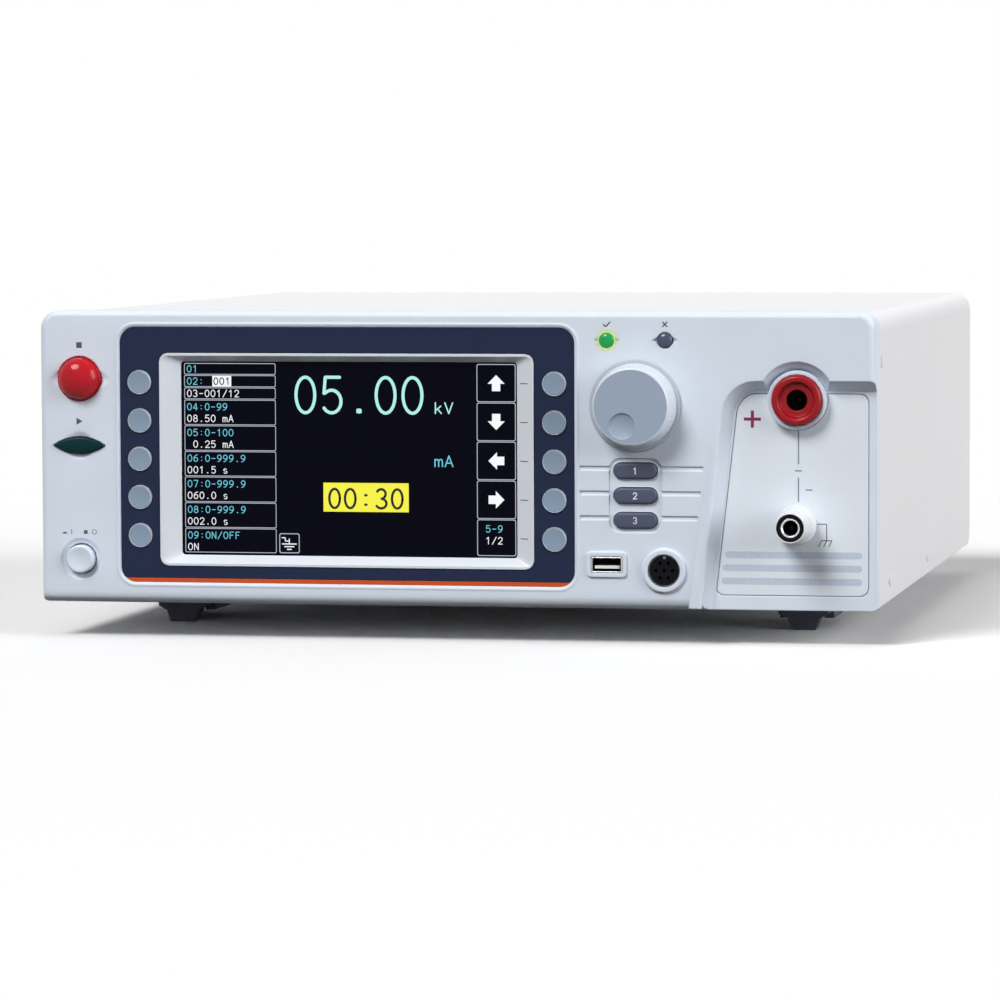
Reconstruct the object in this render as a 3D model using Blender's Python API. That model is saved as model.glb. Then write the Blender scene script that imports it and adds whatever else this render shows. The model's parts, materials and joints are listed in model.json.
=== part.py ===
"""Bench high-voltage insulation tester: a 3U instrument in a sheet steel case with a moulded front bezel.

Metres, +Z up, +X to the right as seen from the front, the front faces -Y.
The origin is on the surface that the instrument stands on, under the middle of the whole object.
Heights on the front are given from the bottom of the case, depths from the face of the bezel.
"""

import math

import bmesh
import bpy
from mathutils import Matrix, Vector

mm = 0.001

# How finely round shapes are divided
large_steps = 30
medium_steps = 24
small_steps = 16
key_steps = 14
tiny_steps = 8

# Case
case_width = 380 * mm
case_height = 132.2 * mm
case_depth = 428 * mm
foot_height = 15.8 * mm
gap = 0.3 * mm
running_gap = 0.4 * mm
side_x = case_width / 2

# Everything on the front keeps its share of the height of the case
unit = case_height / 132.2

# Bezel
bezel_depth = 18 * mm
bezel_wall = 3.6 * mm
bezel_top_radius = 8 * mm
bezel_low_radius = 1.6 * mm
bezel_edge_radius = 2.6 * mm
bezel_sill_radius = 5.2 * mm

# Cover, chassis and rear panel
cover_inset = 1 * mm
cover_sheet = 1.2 * mm
cover_radius = 8.5 * mm
cover_heel_radius = 9 * mm
chassis_sheet = 1.2 * mm
chassis_flange = 22 * mm
rear_sheet = 1.5 * mm
vent_count = 4
vent_pitch = 9 * mm
vent_length = 50 * mm
vent_height = 4 * mm
vent_back = 190 * mm
standoff_height = 8 * mm
standoff_radius = 3 * mm

# Display panel on the bezel, between a column for the left buttons and one for everything on the right
left_column = 37.1 * unit
right_column = 133.7 * unit
panel_centre_x = (left_column - right_column) / 2
panel_width = case_width - left_column - right_column
panel_low = 9.3 * unit
panel_high = 125.2 * unit
panel_radius = 7 * unit
panel_sheet = 1.5 * mm
panel_sink = 0.5 * mm
panel_ledge = 2.4 * unit
trim_height = 2.5 * unit

# Silver frame round the screen
frame_side_margin = 18.7 * unit
frame_centre_x = panel_centre_x
frame_width = panel_width - 2 * frame_side_margin
frame_low = 17.2 * unit
frame_high = 113.2 * unit
frame_radius = 4 * unit
frame_rim = 1.2 * unit
frame_proud = 0.5 * mm
frame_slope_depth = 3.4 * mm
frame_back = 2.4 * mm
screen_side_margin = 8.7 * unit
screen_shift = 0.6 * unit
screen_centre_x = frame_centre_x + screen_shift
screen_width = frame_width - 2 * screen_side_margin
screen_low = 22 * unit
screen_high = 109.4 * unit
glass_sheet = 1.1 * mm
glass_lap = 1.6 * mm
lcd_depth = 7 * mm

# Soft keys beside the screen
soft_key_inset = 9.4 * unit
soft_key_left_x = panel_centre_x - panel_width / 2 + soft_key_inset
soft_key_right_x = panel_centre_x + panel_width / 2 - soft_key_inset
soft_key_top = 100 * unit
soft_key_pitch = 17.3 * unit
soft_key_count = 5
soft_key_radius = 5.4 * unit
soft_key_proud = 0.7 * mm
soft_key_travel = 0.8 * mm
flange_sheet = 1 * mm
flange_lap = 1 * mm

# Buttons at the left edge
stop_inset = 18.5 * unit
stop_x = stop_inset - side_x
stop_z = 101.5 * unit
stop_radius = 9.9 * unit
stop_proud = 6.5 * mm
stop_travel = 2 * mm
stop_eye_half = 15.6 * unit
stop_eye_rise = 5.8 * unit
start_inset = 18.2 * unit
start_x = start_inset - side_x
start_z = 71.3 * unit
start_half = 11.9 * unit
start_rise = 3.7 * unit
start_proud = 1.2 * mm
start_travel = 1.2 * mm
start_dish_radius = 7 * unit
power_inset = 18.6 * unit
power_x = power_inset - side_x
power_z = 19.8 * unit
power_radius = 6.8 * unit
power_proud = 3 * mm
power_travel = 2.5 * mm
power_dish_radius = 9.4 * unit
dish_depth = 1.2 * mm

# Lamps
lamp_z = 119.4 * unit
pass_lamp_inset = 119.4 * unit
pass_lamp_x = side_x - pass_lamp_inset
fail_lamp_inset = 93.3 * unit
fail_lamp_x = side_x - fail_lamp_inset
lamp_radius = 3.4 * unit
lamp_proud = 1.3 * mm
lamp_eye_half = 5.8 * unit
lamp_eye_rise = 2.4 * unit

# Knob and its encoder
knob_inset = 106.6 * unit
knob_x = side_x - knob_inset
knob_z = 90.6 * unit
knob_flange_radius = 20.4 * unit
knob_flange = 1.6 * mm
knob_base_radius = 18.2 * unit
knob_face_radius = 16 * unit
knob_proud = 13.4 * mm
knob_dimple_radius = 5.7 * unit
knob_dimple_reach = 9.2 * unit
knob_dimple_depth = 1.2 * mm
knob_dimple_angle = math.radians(231)
shaft_radius = 3 * unit
bushing_radius = 4.4 * unit
encoder_width = 14 * unit
encoder_depth = 7 * mm

# Mode buttons
mode_x = knob_x
mode_top = 61.7 * unit
mode_pitch = 11 * unit
mode_count = 3
mode_width = 19.6 * unit
mode_height = 7 * unit
mode_proud = 1.3 * mm
mode_travel = 1 * mm
mode_pocket_margin = 2 * unit
mode_pocket_depth = 0.6 * mm
mode_pocket_radius = 5 * unit
groove_height = 1.8 * unit
groove_depth = 0.5 * mm
groove_rise = 0.1 * unit

# Host port and round remote socket
port_inset = 119.5 * unit
port_x = side_x - port_inset
port_z = 19.9 * unit
port_width = 12.9 * unit
port_height = 6 * unit
port_sheet = 0.4 * mm
port_depth = 13 * mm
port_frame_margin = 2.6 * unit
port_frame_proud = 0.8 * mm
port_tongue_sheet = 1.9 * mm
remote_inset = 93.7 * unit
remote_x = side_x - remote_inset
remote_z = 17.5 * unit
remote_ring_radius = 9.9 * unit
remote_radius = 7 * unit
remote_proud = 1.6 * mm
remote_sink = 1.2 * mm
remote_depth = 9 * mm
remote_pin_radius = 0.85 * unit
remote_pin_circle = 3.7 * unit
remote_pin_count = 6
remote_key_half = 1.1 * unit

# Recess that holds the high-voltage terminals
recess_depth = 6 * mm
recess_slope = 4.7 * unit
recess_top = 101.7 * unit
recess_inset = 77.8 * unit
recess_left = side_x - recess_inset
recess_lean = 0.112
recess_corner = 15 * unit
ridge_width = 5 * unit
ridge_proud = 1.5 * mm
ridge_top = 84 * unit
plate_sheet = 1.5 * mm
plate_margin = 1 * unit
plate_low = 6.4 * unit
plate_side_margin = 3.4 * unit
plate_radius = 4 * unit

# High-voltage socket
hv_inset = 34.8 * unit
hv_x = side_x - hv_inset
hv_z = 93.2 * unit
arch_radius = 17.1 * unit
hv_boss_radius = 13.1 * unit
hv_boss_height = 4.6 * mm
hv_radius = 11.1 * unit
hv_proud = 1.4 * mm
hv_step_radius = 7.4 * unit
hv_step_depth = 2.2 * mm
hv_hole_radius = 4.6 * unit
hv_hole_depth = 15 * mm
hv_contact_radius = 2 * unit
hv_nut_radius = 14 * unit
nut_sheet = 3 * mm

# Return terminal
return_inset = 35.4 * unit
return_x = side_x - return_inset
return_z = 38 * unit
return_base_radius = 8.9 * unit
return_front_radius = 6.6 * unit
return_length = 23 * mm
return_insulator_radius = 5.8 * unit
return_contact_radius = 4.3 * unit
return_bore_radius = 3.35 * unit
return_bore_depth = 14 * mm
return_stem_radius = 4 * unit
return_nut_radius = 7 * unit

# Boards and parts inside
board_sheet = 1.6 * mm
key_board_depth = 13.5 * mm
key_board_margin = 7 * mm
subpanel_sheet = 1.2 * mm
rod_room = 7.6 * mm
subpanel_border = power_inset - rod_room
subpanel_flange = 20 * mm
switch_depth = 24 * mm
switch_body_depth = 28 * mm
supply_side_margin = 25 * mm
supply_width = 90 * mm
supply_height = 40 * mm
supply_x = supply_side_margin + supply_width / 2 - side_x
supply_back = 90 * mm
supply_margin = 12 * mm
core_width = 70 * mm
core_length = 56 * mm
core_height = 58 * mm
core_x = supply_x
core_rear_room = 128 * mm
core_back = case_depth - core_rear_room
core_limb = 12 * mm
winding_overhang = 8 * mm
supply_aisle = 52 * mm
supply_length = core_back - winding_overhang - supply_aisle - supply_back
board_aisle = 35 * mm
board_side_margin = 30 * mm
main_board_width = case_width - supply_side_margin - supply_width - board_aisle - board_side_margin
main_board_x = side_x - board_side_margin - main_board_width / 2
main_board_back = 120 * mm
board_rear_margin = 88 * mm
main_board_length = case_depth - board_rear_margin - main_board_back
standoff_margin = 6 * mm
chip_sizes = (
    (0.11 * main_board_width, 22 * mm, 3 * mm),
    (0.15 * main_board_width, 18 * mm, 6 * mm),
    (0.07 * main_board_width, 40 * mm, 12 * mm),
    (0.2 * main_board_width, 12 * mm, 9 * mm),
)
chip_margin = 0.12 * main_board_width
chip_pitch = 0.22 * main_board_width
chip_back = 0.27 * main_board_length
chip_stagger = 0.14 * main_board_length
capacitor_count = 3
capacitor_margin = 0.2 * main_board_width
capacitor_pitch = 0.25 * main_board_width
capacitor_back = 0.77 * main_board_length
capacitor_radius = 8 * mm
capacitor_height = 25 * mm

# Feet and tilt legs
foot_inset = 43 * mm
foot_x = side_x - foot_inset
front_foot_back = 84 * mm
foot_width = 25 * mm
foot_block = 15 * mm
foot_cheek = 4.5 * mm
foot_cheek_length = 42 * mm
foot_plate = 3 * mm
foot_pad_width = 11 * mm
foot_pad_height = 5.4 * mm
leg_thick = 6 * mm
leg_length = 33 * mm
leg_pin_radius = 1.6 * mm
leg_pivot_drop = 7.4 * mm
rear_foot_radius = 9.5 * mm
rear_foot_inset = 45 * mm

# Rear side
fan_size = 60 * mm
fan_depth = 20 * mm
fan_inset = 72 * mm
fan_x = fan_inset - side_x
fan_drop = 54.2 * mm
fan_z = case_height - fan_drop
fan_ring_radius = 28.5 * mm
fan_hub_radius = 12 * mm
fan_blade_count = 7
fan_blade_gap = 1 * mm
guard_wire = 1 * mm
guard_stand = 2.2 * mm
guard_ring_count = 3
inlet_inset = 50 * mm
inlet_x = side_x - inlet_inset
inlet_z = 40 * mm
inlet_width = 30 * mm
inlet_height = 48 * mm
inlet_flange = 2.5 * mm
inlet_body_depth = 26 * mm
plug_width = 24.6 * mm
plug_height = 17 * mm
plug_depth = 16 * mm
plug_chamfer = 5 * mm
pin_length = 11 * mm
drawer_width = 22 * mm
drawer_height = 13 * mm
drawer_proud = 1.5 * mm
drawer_depth = 18 * mm
ground_inset = 86 * mm
ground_x = side_x - ground_inset
ground_z = 30 * mm
ground_stud_radius = 2.9 * mm
ground_length = 9 * mm
signal_x = 30 * mm
signal_z = 60 * mm
signal_width = 53 * mm
signal_height = 12.5 * mm
signal_proud = 5.6 * mm
signal_sink = 1 * mm
signal_body_depth = 8 * mm
signal_end = 8 * mm
signal_screw_inset = 3.6 * mm
signal_screw_radius = 2.7 * mm
signal_wall = 0.6 * mm
network_x = -30 * mm
network_z = 60 * mm
network_width = 16 * mm
network_height = 13.5 * mm
network_depth = 20 * mm
network_wall = 2 * mm
screw_head_radius = 2.9 * mm
screw_head_height = 1.1 * mm
screw_shank_radius = 1.4 * mm
screw_length = 5 * mm
screw_drop = 22.8 * mm
screw_places = ((32 * mm, case_height - screw_drop), (64 * mm, 9.8 * mm), (220 * mm, 8.6 * mm))

# Worked out from the sizes above
front_reach = return_length - recess_depth
rear_reach = ground_length
face_y = -(case_depth + front_reach + rear_reach) / 2 + front_reach
case_top = foot_height + case_height


def depth(value):
    """The Y of a point this far behind the face of the bezel."""
    return face_y + value


def height(value):
    """The Z of a point this far above the bottom of the case."""
    return foot_height + value


# Shapes


def new_object(name, bm):
    """Turns a bmesh into an object of the scene with its faces pointing out."""
    bmesh.ops.remove_doubles(bm, verts=bm.verts, dist=1e-7)
    bmesh.ops.recalc_face_normals(bm, faces=bm.faces)
    mesh = bpy.data.meshes.new(name)
    bm.to_mesh(mesh)
    bm.free()
    obj = bpy.data.objects.new(name, mesh)
    bpy.context.scene.collection.objects.link(obj)
    return obj


def combine(obj, tool, operation):
    """Applies one Boolean and removes its tool."""
    modifier = obj.modifiers.new(operation.lower(), "BOOLEAN")
    modifier.operation = operation
    modifier.object = tool
    with bpy.context.temp_override(object=obj, active_object=obj, selected_objects=[obj]):
        bpy.ops.object.modifier_apply(modifier=modifier.name)
    bpy.data.objects.remove(tool)


def cut(obj, *tools):
    for tool in tools:
        combine(obj, tool, "DIFFERENCE")


def join(obj, *tools):
    for tool in tools:
        combine(obj, tool, "UNION")


def keep(obj, tool):
    combine(obj, tool, "INTERSECT")


def arc(centre_x, centre_z, radius, start, end, steps):
    """Points of an arc in the plane of the front, angles in degrees from +X towards +Z."""
    points = []
    for step in range(steps + 1):
        angle = math.radians(start + (end - start) * step / steps)
        points.append((centre_x + radius * math.cos(angle), centre_z + radius * math.sin(angle)))
    return points


def circle(centre_x, centre_z, radius, steps=small_steps):
    return arc(centre_x, centre_z, radius, 0, 360, steps)[:-1]


def rounded(left, right, low, high, radius, steps=3, low_radius=None, low_steps=None):
    """A rectangle whose lower corners may have a radius of their own."""
    under = radius if low_radius is None else low_radius
    under_steps = low_steps or steps
    points = arc(right - under, low + under, under, -90, 0, under_steps)
    points += arc(right - radius, high - radius, radius, 0, 90, steps)
    points += arc(left + radius, high - radius, radius, 90, 180, steps)
    points += arc(left + under, low + under, under, 180, 270, under_steps)
    return points


def pointed_oval(centre_x, centre_z, half, rise, steps=8):
    """The outline between two equal arcs that meet in points on the left and right."""
    radius = (half * half + rise * rise) / (2 * rise)
    sweep = math.degrees(math.asin(half / radius))
    upper = arc(centre_x, centre_z + rise - radius, radius, 90 - sweep, 90 + sweep, steps)
    lower = arc(centre_x, centre_z - rise + radius, radius, 270 - sweep, 270 + sweep, steps)
    return upper[:-1] + lower[:-1]


def scaled(outline, centre_x, centre_z, factor):
    return [(centre_x + (x - centre_x) * factor, centre_z + (z - centre_z) * factor) for x, z in outline]


def loft(name, sections):
    """A closed solid through rings of points; each section is a list of 3D points, all as long."""
    bm = bmesh.new()
    rings = [[bm.verts.new(point) for point in section] for section in sections]
    for near, far in zip(rings, rings[1:]):
        for index, vert in enumerate(near):
            after = (index + 1) % len(near)
            bm.faces.new((vert, near[after], far[after], far[index]))
    bm.faces.new(rings[0])
    bm.faces.new(rings[-1])
    return new_object(name, bm)


def at_depth(outline, y):
    return [(x, y, z) for x, z in outline]


def prism(name, outline, y_front, y_back):
    return loft(name, [at_depth(outline, y_front), at_depth(outline, y_back)])


def block(name, low, high):
    """A box between two corners."""
    outline = [(low[0], low[2]), (high[0], low[2]), (high[0], high[2]), (low[0], high[2])]
    return prism(name, outline, low[1], high[1])


def turned(name, centre, profile, steps=small_steps, axis="Y"):
    """Spins a profile of (radius, distance along the axis) about the axis through the centre."""
    bm = bmesh.new()
    verts = [bm.verts.new((radius, along, 0)) for radius, along in profile]
    edges = [bm.edges.new(pair) for pair in zip(verts, verts[1:])]
    if profile[0][0] > 0 and profile[-1][0] > 0:
        edges.append(bm.edges.new((verts[-1], verts[0])))
    bmesh.ops.spin(
        bm,
        geom=verts + edges,
        cent=(0, 0, 0),
        axis=(0, 1, 0),
        angle=2 * math.pi,
        steps=steps,
    )
    if axis == "Z":
        bmesh.ops.rotate(bm, verts=bm.verts, matrix=Matrix.Rotation(math.pi / 2, 3, "X"))
    if axis == "X":
        bmesh.ops.rotate(bm, verts=bm.verts, matrix=Matrix.Rotation(-math.pi / 2, 3, "Z"))
    bmesh.ops.translate(bm, verts=bm.verts, vec=centre)
    return new_object(name, bm)


def cylinder(name, x, z, radius, y_front, y_back, steps=small_steps):
    return prism(name, circle(x, z, radius, steps), y_front, y_back)


def domed(radius, y_rim, y_top, steps=3):
    """Profile points of a dome from its middle at y_top out to its rim at y_rim."""
    angles = [math.pi / 2 * step / steps for step in range(steps + 1)]
    rise = y_top - y_rim
    return [(radius * math.sin(angle), y_rim + rise * math.cos(angle)) for angle in angles]


def finish(obj, material, origin=None, smooth_angle=40):
    """Gives the piece its material, smooth shading and, when it moves, its origin."""
    obj.data.materials.clear()
    obj.data.materials.append(material)
    obj.data.shade_smooth()
    obj.data.set_sharp_from_angle(angle=math.radians(smooth_angle))
    if origin is not None:
        obj.data.transform(Matrix.Translation(-Vector(origin)))
        obj.location = origin
    return obj


def make_material(name, colour, roughness, metallic=0.0):
    material = bpy.data.materials.new(name)
    material.use_nodes = True
    shader = material.node_tree.nodes["Principled BSDF"]
    shader.inputs["Base Color"].default_value = (*colour, 1)
    shader.inputs["Roughness"].default_value = roughness
    shader.inputs["Metallic"].default_value = metallic
    material.diffuse_color = (*colour, 1)
    return material


# Bezel


def bezel_outline(side_inset, low_inset):
    radius = max(bezel_top_radius - side_inset, 0.5 * mm)
    return rounded(
        -side_x + side_inset,
        side_x - side_inset,
        foot_height + low_inset,
        case_top - side_inset,
        radius,
        steps=6,
        low_radius=bezel_low_radius,
        low_steps=2,
    )


def edge_inset(radius, reach):
    """How far a rounded edge stands in at this depth."""
    if reach >= radius:
        return 0.0
    return radius - math.sqrt(radius * radius - (radius - reach) ** 2)


def bezel_block():
    reaches = [0, 0.15 * bezel_edge_radius, 0.45 * bezel_edge_radius, bezel_edge_radius, bezel_sill_radius]
    sections = []
    for reach in reaches + [bezel_depth]:
        outline = bezel_outline(edge_inset(bezel_edge_radius, reach), edge_inset(bezel_sill_radius, reach))
        sections.append(at_depth(outline, depth(reach)))
    return loft("front_bezel", sections)


def recess_outline(inset):
    """The recess for the terminals at a given step in from its front edge; it is open right and below."""
    slant = math.degrees(math.atan(recess_lean))
    across = math.sqrt(1 + recess_lean**2)
    radius = recess_corner - inset
    top = height(recess_top)
    centre_z = top - recess_corner
    left_at_centre = recess_left + recess_lean * (centre_z - foot_height)
    centre_x = left_at_centre + recess_corner * across
    below = foot_height - 6 * mm
    left_below = recess_left + recess_lean * (below - foot_height) + inset * across
    right = side_x + 6 * mm
    corner = arc(centre_x, centre_z, radius, 180 - slant, 90, 6)
    return [(left_below, below)] + corner + [(right, top - inset), (right, below)]


def recess_cutter():
    slope = recess_slope / recess_depth
    outside = 1 * mm
    sections = [
        at_depth(recess_outline(-outside * slope), depth(-outside)),
        at_depth(recess_outline(recess_slope), depth(recess_depth)),
    ]
    return loft("recess_cutter", sections)


def arch_cutter():
    slope = (arch_radius - hv_boss_radius - gap) / recess_depth
    outside = 1 * mm
    profile = [
        (0, -outside),
        (arch_radius + outside * slope, -outside),
        (arch_radius - recess_depth * slope, recess_depth),
        (0, recess_depth),
    ]
    return turned("arch_cutter", (hv_x, face_y, height(hv_z)), profile, steps=large_steps)


def ridge():
    """The swelling beside the recess, which fades into the face towards its top."""
    levels = 6
    sections = []
    for level in range(levels + 1):
        share = level / levels
        z = height(0.8 * mm) + (ridge_top - 0.8 * mm) * share
        crest = recess_left + recess_lean * (z - foot_height)
        swell = ridge_proud * math.cos(share * math.pi / 2) ** 0.6 if share < 1 else 0.02 * mm
        wide = ridge_width * (1 - 0.35 * share)
        ring = [
            (crest - wide, face_y + 1.5 * mm, z),
            (crest - wide, face_y - 0.01 * mm, z),
            (crest - 0.7 * wide, face_y - 0.45 * swell, z),
            (crest - 0.4 * wide, face_y - 0.85 * swell, z),
            (crest - 0.12 * wide, face_y - swell, z),
            (crest + 0.08 * wide, face_y - 0.7 * swell, z),
            (crest + 0.12 * wide, face_y + 0.2 * mm, z),
            (crest + 0.12 * wide, face_y + 1.5 * mm, z),
        ]
        sections.append(ring)
    return loft("ridge", sections)


def dish(name, outline, centre_x, centre_z, bottom_scale):
    """A shallow hollow with sloping sides, cut from just in front of the face."""
    outside = 0.5 * mm
    grow = 1 + (1 - bottom_scale) * outside / dish_depth
    return loft(
        name,
        [
            at_depth(scaled(outline, centre_x, centre_z, grow), depth(-outside)),
            at_depth(scaled(outline, centre_x, centre_z, (1 + bottom_scale) / 2), depth(dish_depth * 0.62)),
            at_depth(scaled(outline, centre_x, centre_z, bottom_scale), depth(dish_depth)),
        ],
    )


def through(outline, name="hole"):
    """A cutter that goes right through the front wall of the bezel."""
    return prism(name, outline, depth(-2 * mm), depth(recess_depth + bezel_wall + 4 * mm))


def panel_outline(clearance=0.0):
    return rounded(
        panel_centre_x - panel_width / 2 + clearance,
        panel_centre_x + panel_width / 2 - clearance,
        height(panel_low) + clearance,
        height(panel_high) - clearance,
        panel_radius - clearance,
        steps=5,
    )


def mode_centres():
    return [height(mode_top - mode_pitch * index) for index in range(mode_count)]


def soft_key_centres():
    return [height(soft_key_top - soft_key_pitch * index) for index in range(soft_key_count)]


def capsule(x, z, width, tall, grow=0.0, steps=4):
    radius = tall / 2 + grow
    return rounded(
        x - width / 2 - grow,
        x + width / 2 + grow,
        z - radius,
        z + radius,
        radius * 0.999,
        steps=steps,
    )


def mode_pocket_box():
    centres = mode_centres()
    half = mode_width / 2 + mode_pocket_margin
    low = centres[-1] - mode_height / 2 - mode_pocket_margin
    high = centres[0] + mode_height / 2 + mode_pocket_margin
    return mode_x - half, mode_x + half, low, high


def cut_cavities(bezel):
    """Hollows the bezel from behind: shallow behind the flat face, deeper behind the recess."""
    split = recess_left - 5 * mm
    inner = bezel_outline(bezel_wall, bezel_wall)
    back = depth(bezel_depth + 2 * mm)
    left_part = prism("cavity", inner, depth(bezel_wall), back)
    keep(left_part, block("half", (-side_x, depth(-1 * mm), 0), (split, back + mm, case_top)))
    right_part = prism("cavity", inner, depth(recess_depth + bezel_wall), back)
    keep(right_part, block("half", (split - 2 * mm, depth(-1 * mm), 0), (side_x, back + mm, case_top)))
    cut(bezel, left_part, right_part)


def cut_button_holes(bezel):
    eye = pointed_oval(stop_x, height(stop_z), stop_eye_half, stop_eye_rise)
    cut(bezel, dish("dish", eye, stop_x, height(stop_z), 0.72))
    round_dish = circle(start_x, height(start_z), start_dish_radius, medium_steps)
    cut(bezel, dish("dish", round_dish, start_x, height(start_z), 0.6))
    power_dish = circle(power_x, height(power_z), power_dish_radius, medium_steps)
    cut(bezel, dish("dish", power_dish, power_x, height(power_z), 0.8))
    for lamp_x in (pass_lamp_x, fail_lamp_x):
        lamp_eye = pointed_oval(lamp_x, height(lamp_z), lamp_eye_half, lamp_eye_rise, 4)
        cut(bezel, dish("dish", lamp_eye, lamp_x, height(lamp_z), 0.7))
        cut(bezel, through(circle(lamp_x, height(lamp_z), lamp_radius + gap, key_steps)))
    cut(bezel, through(circle(stop_x, height(stop_z), stop_radius + running_gap, medium_steps)))
    grown = pointed_oval(start_x, height(start_z), start_half + 1.4 * running_gap, start_rise + running_gap)
    cut(bezel, through(grown))
    cut(bezel, through(circle(power_x, height(power_z), power_radius + running_gap)))
    cut(bezel, through(circle(knob_x, height(knob_z), bushing_radius + gap, key_steps)))


def cut_mode_area(bezel):
    left, right, low, high = mode_pocket_box()
    pocket = rounded(left, right, low, high, mode_pocket_radius, 4)
    cut(bezel, prism("pocket", pocket, depth(-mm), depth(mode_pocket_depth)))
    panel_edge = panel_centre_x + panel_width / 2
    for z in mode_centres():
        top = z + groove_rise + groove_height
        crest = recess_left + recess_lean * (top - foot_height) - ridge_width - 0.6 * mm
        for start, end in ((panel_edge - mm, left + mm), (right - mm, crest)):
            cut(bezel, block("groove", (start, depth(-mm), z + groove_rise), (end, depth(groove_depth), top)))
        cut(bezel, through(capsule(mode_x, z, mode_width, mode_height, running_gap)))


def port_outline(grow):
    return rounded(
        port_x - port_width / 2 - grow,
        port_x + port_width / 2 + grow,
        height(port_z) - port_height / 2 - grow,
        height(port_z) + port_height / 2 + grow,
        max(0.5 * mm, min(grow, 2 * mm)),
        steps=3,
    )


def add_sockets(bezel):
    join(bezel, prism("frame", port_outline(port_frame_margin), depth(-port_frame_proud), depth(mm)))
    cut(bezel, through(port_outline(port_sheet + gap)))
    bevel = 0.6 * mm
    ring = turned(
        "ring",
        (remote_x, face_y, height(remote_z)),
        [
            (0, -remote_proud),
            (remote_ring_radius - bevel, -remote_proud),
            (remote_ring_radius, bevel - remote_proud),
            (remote_ring_radius, mm),
            (0, mm),
        ],
        steps=medium_steps,
    )
    join(bezel, ring)
    cut(bezel, through(circle(remote_x, height(remote_z), remote_radius + gap, medium_steps)))


def plate_outline(clearance=0.0):
    """The terminal plate follows the recess and stops short of the sill and the right side."""
    outline = recess_outline(recess_slope + plate_margin + clearance)
    low = height(plate_low) + clearance
    right = side_x - plate_side_margin - clearance
    top = outline[-2][1]
    left_low = recess_left + recess_lean * (low - foot_height)
    left_low += (recess_slope + plate_margin + clearance) * math.sqrt(1 + recess_lean**2)
    lower_left = [(left_low, low + 2 * mm), (left_low + 2 * mm, low)]
    lower_right = arc(right - plate_radius, low + plate_radius, plate_radius, -90, 0, 4)
    upper_right = arc(right - plate_radius, top - plate_radius, plate_radius, 0, 90, 4)
    upper_left = list(reversed(outline[1:-2]))
    return lower_left + lower_right + upper_right + upper_left


def add_terminal_seats(bezel):
    floor = depth(recess_depth)
    cut(bezel, prism("seat", plate_outline(), depth(-mm), floor + plate_sheet))
    boss_front = floor - hv_boss_height
    join(bezel, cylinder("boss", hv_x, height(hv_z), hv_boss_radius, boss_front, floor + 2 * mm, large_steps))
    cut(bezel, through(circle(hv_x, height(hv_z), hv_radius + gap, medium_steps)))
    cut(bezel, through(circle(return_x, height(return_z), return_stem_radius + gap, key_steps)))


def make_bezel(material):
    bezel = bezel_block()
    cut_cavities(bezel)
    cut(bezel, recess_cutter(), arch_cutter())
    join(bezel, ridge())
    cut(bezel, prism("panel", panel_outline(), depth(-mm), depth(panel_sink + panel_sheet + gap)))
    cut(bezel, prism("window", panel_outline(panel_ledge), depth(-mm), depth(bezel_wall + 2 * mm)))
    cut_button_holes(bezel)
    cut_mode_area(bezel)
    add_sockets(bezel)
    add_terminal_seats(bezel)
    return finish(bezel, material)


# Display


def make_panel(panel_material, trim_material):
    """The dark fascia and the bright strip along its foot fill one pocket of the bezel."""
    front = depth(panel_sink)
    back = front + panel_sheet
    split = height(panel_low) + trim_height
    box_low = (-side_x, front - mm, 0)
    fascia = prism("display_fascia", panel_outline(gap), front, back)
    keep(fascia, block("upper", (-side_x, front - mm, split), (side_x, back + mm, case_top)))
    opening = frame_outline(gap)
    cut(fascia, prism("opening", opening, front - mm, back + mm))
    for x, z in soft_key_places():
        cut(fascia, cylinder("hole", x, z, soft_key_radius + running_gap, front - mm, back + mm, key_steps))
    strip = prism("orange_trim_strip", panel_outline(gap), front, back)
    keep(strip, block("lower", box_low, (side_x, back + mm, split - gap)))
    return [finish(fascia, panel_material), finish(strip, trim_material)]


def frame_outline(grow=0.0):
    return rounded(
        frame_centre_x - frame_width / 2 - grow,
        frame_centre_x + frame_width / 2 + grow,
        height(frame_low) - grow,
        height(frame_high) + grow,
        frame_radius + grow,
    )


def screen_outline(grow=0.0):
    return rounded(
        screen_centre_x - screen_width / 2 - grow,
        screen_centre_x + screen_width / 2 + grow,
        height(screen_low) - grow,
        height(screen_high) + grow,
        1.5 * mm,
    )


def make_screen(frame_material, glass_material, module_material):
    front = depth(panel_sink) - frame_proud
    lip = front + frame_slope_depth
    rebate = lip + 0.6 * mm
    back = lip + frame_back
    frame = prism("screen_frame", frame_outline(), front, back)
    rim = frame_outline(-frame_rim)
    grown = frame_outline(-frame_rim + 0.4 * mm)
    sections = [at_depth(grown, front - 0.5 * mm), at_depth(rim, front), at_depth(screen_outline(), lip)]
    cut(frame, loft("taper", sections))
    cut(frame, prism("lip", screen_outline(), lip - 0.5 * mm, back + mm))
    cut(frame, prism("rebate", screen_outline(glass_lap), rebate, back + mm))
    glass_front = rebate + gap
    glass = prism("display_window", screen_outline(glass_lap - gap), glass_front, glass_front + glass_sheet)
    module_front = back + gap
    module = prism("lcd_module", frame_outline(-mm), module_front, module_front + lcd_depth - mm)
    step = frame_outline(-0.9 * frame_radius)
    join(module, prism("backplate", step, module_front + lcd_depth - 2 * mm, module_front + lcd_depth))
    return [
        finish(frame, frame_material),
        finish(glass, glass_material),
        finish(module, module_material),
    ]


def soft_key_places():
    return [(x, z) for x in (soft_key_left_x, soft_key_right_x) for z in soft_key_centres()]


# Buttons, knob and lamps


def switch_front():
    return depth(key_board_depth) - 6 * mm


def stem_end(travel):
    return switch_front() - travel - gap


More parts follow.
